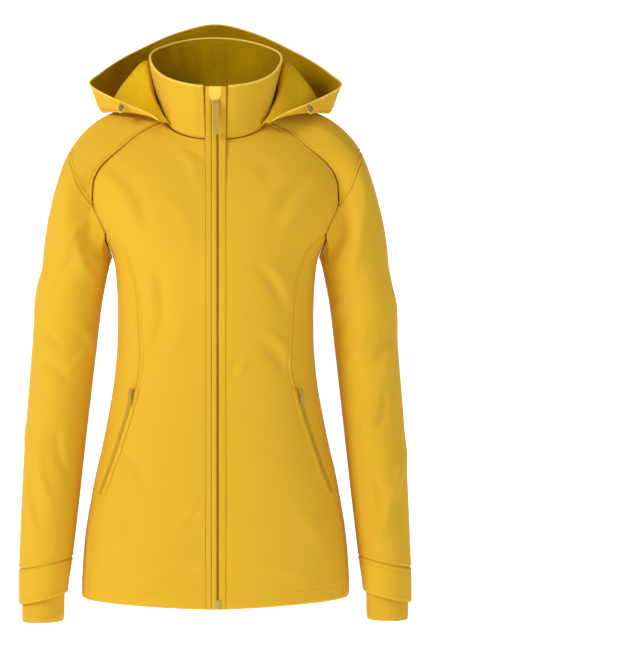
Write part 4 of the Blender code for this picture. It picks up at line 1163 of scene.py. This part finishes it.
def make_coil():
    """Zip coil: a tube up the centre front whose radius swells once every 1.5 mm, as its turns do."""
    line = centre_line(np.linspace(0.002, 0.998, 2000))
    reach = np.r_[0, np.cumsum(np.hypot(*np.diff(line, axis=0).T))]
    points = np.column_stack([np.full(len(line), 2.55), line[:, 0] + 0.9, line[:, 1]])
    swell = np.sin(2 * math.pi * reach / COIL_PITCH)
    coil = tube("zip_teeth", points, 0.75 + 0.22 * swell, "coil", sides=6)
    on_body("zip_tape", coil)
    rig.replaces(coil, "zip_coil")


def pocket_band(inner, outer, across):
    """Band beside the panel seam over the pocket's opening."""
    level = np.linspace(POCKET_LOW, POCKET_TOP, 121)[:, None]
    x = spline(PANEL_SEAM, level[:, 0])[:, None] + inner + (outer - inner) * across[None]
    return torso(angle_at(x, level + 0 * x), level + 0 * x)


def make_pockets():
    """Pocket welts and zip tapes, each on the panel seam with the front's own folds under them."""
    made, extra = [], []
    for word, side in SIDES:
        for name, inner, outer, lift, wall, finish, rows in POCKET_BANDS:
            grid = pocket_band(inner, outer, shares(8, 0.5))
            edge = np.minimum(*from_edges(grid, 1))
            end = np.minimum(*from_edges(grid, 0))
            relief = lift + body_folds(grid, side) * seam_fade(end, 6)
            relief -= ridge(edge, 0, 0.7, 0.7) + ridge(end, 0, 1.5, 0.8)
            sew(made, extra, f"cloth_{name}_{word}", f"{name}_{word}", grid, relief, rows, (finish, finish), wall,
                side, radius=FINE_THREAD)
    return made, extra


def flat_size(grid, cells):
    """Flat cut of a panel in metres: its longest row, its longest column, and the sum of its cells' areas."""
    steps = np.linalg.norm(np.diff(grid, axis=1), axis=-1)
    rises = np.linalg.norm(np.diff(grid, axis=0), axis=-1)
    cross = np.cross(grid[1:, 1:] - grid[:-1, :-1], grid[1:, :-1] - grid[:-1, 1:])
    areas = np.linalg.norm(cross, axis=-1) / 2
    if cells is not None:
        areas, steps, rises = areas * cells, steps[:-1] * cells, rises[:, :-1] * cells
    width, length = max(steps.sum(1).max() * MM, NARROWEST_CUT), rises.sum(0).max() * MM
    least, most = (share * width * length for share in CUT_SHARE)
    return width, length, max(min(areas.sum() * MM**2, most), least)


def settle(made, extra, held, rests_on):
    """Sets each piece and its stitching on the body, in its material slot, and declares its flat cut."""
    for piece, grid, cad_node, cells in made:
        width, length, area = flat_size(grid, cells)
        on_body(SLOTS[piece.data.materials[0].name], piece)
        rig.replaces(piece, cad_node)
        sewn = [each for each in extra if each.name.split("_", 1)[1] == piece.name.split("_", 1)[1]]
        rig.sheet(piece, flat=(width, length), area=area, held=held, rests_on=[rests_on], with_pieces=sewn)
    for each in extra:
        on_body(SLOTS[each.data.materials[0].name], each)


# ---------------------------------------------------------------- operators

class PieceOperator:
    """Shared work of the operators that sew one group of cloth pieces."""
    bl_options = {"REGISTER", "UNDO"}
    held = "hung"
    rests_on = "cloth_collar"

    def execute(self, context):
        made, extra = self.make()
        if not made:
            raise RuntimeError(f"{self.bl_label}: nothing was made")
        settle(made, extra, self.held, self.rests_on)
        return {"FINISHED"}


def operator(idname, label, text, make, held="hung", rests_on="cloth_collar"):
    """Operator that sews the pieces that make() gives, and declares how their cloth is held."""
    facts = {"bl_idname": f"jacket.{idname}", "bl_label": label, "__doc__": text, "make": staticmethod(make),
             "held": held, "rests_on": rests_on}
    return type(f"JACKET_OT_{idname}", (PieceOperator, bpy.types.Operator), facts)


PIECES = (
    operator("collar", "Collar", "Stand collar with its rolled edge", make_collar, rests_on="cloth_back"),
    operator("fronts", "Fronts", "Left and right front panels", paired("cloth_front", "front", front_panel)),
    operator("sides", "Side fronts", "Panels between the panel seam and the side seam",
             paired("cloth_side", "side_front", side_panel), rests_on="cloth_back"),
    operator("back", "Back", "Back panel", make_back),
    operator("yokes", "Yokes", "Raglan yokes over the shoulders", paired("cloth_yoke", "yoke", yoke_panel)),
    operator("sleeves", "Sleeves", "Sleeves with their elbow folds",
             paired("cloth_sleeve", "sleeve", sleeve_panel, wrap=True), rests_on="cloth_back"),
    operator("cuffs", "Cuffs", "Bands at the sleeve ends",
             paired("cloth_cuff", "sleeve_cuff", cuff_panel, wrap=True), rests_on="cloth_back"),
    operator("knits", "Knit cuffs", "Ribbed tubes inside the cuffs",
             paired("knit", "knit_cuff", knit_panel, finishes=("knit", "knit"), wrap=True),
             rests_on="cloth_back"),
    operator("hood", "Hood", "Hood laid back round the collar", make_hood, "folded"),
    operator("placket", "Placket", "Bands over the zip, its tape and the chin guard", make_placket, "laid"),
    operator("pockets", "Pockets", "Welts and zip tapes of the slanted pockets", make_pockets, "laid",
             "cloth_back"),
)


class JACKET_OT_zips(bpy.types.Operator):
    """Zip coil and its foot, hood cords, snaps, and the finish of the sliders and pull tabs"""
    bl_idname = "jacket.zips"
    bl_label = "Zips"

    def execute(self, context):
        make_coil()
        make_hood_cords()
        make_snaps()
        make_zip_foot()
        for name, item in frame["nodes"].items():
            if name.endswith(("_slider", "_pull_tab")):
                for slot in item.material_slots:
                    slot.material = material("zip_metal")
        return {"FINISHED"}


class JACKET_OT_stage(bpy.types.Operator):
    """Floor that curves up into a backdrop, three soft lights and the camera"""
    bl_idname = "jacket.stage"
    bl_label = "Stage"

    def execute(self, context):
        settings = context.scene.jacket
        make_floor(settings.floor_height / MM)
        make_lights(settings.key_power)
        make_camera()
        return {"FINISHED"}


def make_floor(height):
    """Sweep: a flat floor, a quarter circle of 1.2 m and an upright wall, drawn out sideways."""
    turn = np.linspace(0, math.pi / 2, 24)
    y = np.r_[-FLOOR_REACH, WALL_START + WALL_CURVE * np.sin(turn), WALL_START + WALL_CURVE]
    z = height + np.r_[0, WALL_CURVE * (1 - np.cos(turn)), WALL_HEIGHT]
    x = np.array([-FLOOR_REACH, FLOOR_REACH])[None] + 0 * y[:, None]
    grid = np.stack([x, y[:, None] + 0 * x, z[:, None] + 0 * x], -1)
    made = bpy.data.materials.new("paper")
    made.use_nodes = True
    tree = made.node_tree
    shader = tree.nodes["Principled BSDF"]
    where = node(tree, "TexCoord").outputs["Object"]
    grain = node(tree, "TexNoise", {"Vector": where, "Scale": 1 / (4 * MM)}).outputs["Fac"]
    bump = node(tree, "Bump", {"Height": grain, "Strength": 0.03})
    tree.links.new(bump.outputs["Normal"], shader.inputs["Normal"])
    shader.inputs["Base Color"].default_value = linear("#f1f1ef")
    shader.inputs["Roughness"].default_value = 0.9
    shader.inputs["Emission Color"].default_value = linear("#ffffff")
    shader.inputs["Emission Strength"].default_value = PAPER_GLOW
    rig.stage(shell("floor", grid, normals_of(grid), 20.0, [made, made]))


def make_lights(power):
    """Key from the upper left, a weaker fill from the right and a broad top light, over a pale surround."""
    for name, place, aim, size, share in LIGHTS:
        lamp = bpy.data.lights.new(name, "AREA")
        lamp.energy, lamp.size = power * share, size
        made = bpy.data.objects.new(name, lamp)
        made.location = place
        made.rotation_euler = (Vector(aim) - Vector(place)).to_track_quat("-Z", "Y").to_euler()
        bpy.context.scene.collection.objects.link(made)
    world = bpy.data.worlds.new("surround")
    world.use_nodes = True
    world.node_tree.nodes["Background"].inputs["Color"].default_value = linear("#ffffff")
    world.node_tree.nodes["Background"].inputs["Strength"].default_value = SURROUND
    bpy.context.scene.world = world
    bpy.context.scene.view_settings.view_transform = "Standard"


def make_camera():
    """Camera level with the jacket's middle, whose picture is VIEW_WIDTH wide at its aim."""
    camera = bpy.data.cameras.new("camera")
    way = Vector(AIM) - Vector(EYE)
    camera.sensor_fit, camera.sensor_width = "HORIZONTAL", SENSOR
    camera.lens = SENSOR * way.length / VIEW_WIDTH
    made = bpy.data.objects.new("camera", camera)
    made.location = EYE
    made.rotation_euler = way.to_track_quat("-Z", "Y").to_euler()
    bpy.context.scene.collection.objects.link(made)
    bpy.context.scene.camera = made


class JacketSettings(bpy.types.PropertyGroup):
    """Settings of the stage"""
    floor_height: bpy.props.FloatProperty(
        name="Floor height", description="Height of the floor under the neck", default=-0.86, unit="LENGTH")
    key_power: bpy.props.FloatProperty(
        name="Key light", description="Power of the key light", default=54.0, min=0, unit="POWER")


class JACKET_PT_panel(bpy.types.Panel):
    """Buttons that build the jacket piece by piece"""
    bl_label = "Softshell jacket"
    bl_idname = "JACKET_PT_panel"
    bl_space_type = "VIEW_3D"
    bl_region_type = "UI"
    bl_category = "Jacket"

    def draw(self, context):
        for each in STEPS:
            self.layout.operator(each.bl_idname)
        self.layout.prop(context.scene.jacket, "floor_height")
        self.layout.prop(context.scene.jacket, "key_power")


STEPS = (*PIECES, JACKET_OT_zips, JACKET_OT_stage)
CLASSES = (JacketSettings, *STEPS, JACKET_PT_panel)


def register():
    """Registers the classes and the stage's settings."""
    for each in CLASSES:
        bpy.utils.register_class(each)
    bpy.types.Scene.jacket = bpy.props.PointerProperty(type=JacketSettings)


def unregister():
    """Takes away what register() adds."""
    del bpy.types.Scene.jacket
    for each in reversed(CLASSES):
        bpy.utils.unregister_class(each)


def main():
    """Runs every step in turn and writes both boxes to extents.json."""
    register()
    for each in STEPS:
        group, name = each.bl_idname.split(".")
        getattr(getattr(bpy.ops, group), name)()
    with open("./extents.json", "w") as out:
        json.dump({"cad": [list(corner) for corner in CAD_BOX],
                   "visual": [list(corner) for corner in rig.bounds()]}, out)


if __name__ == "__main__":
    main()
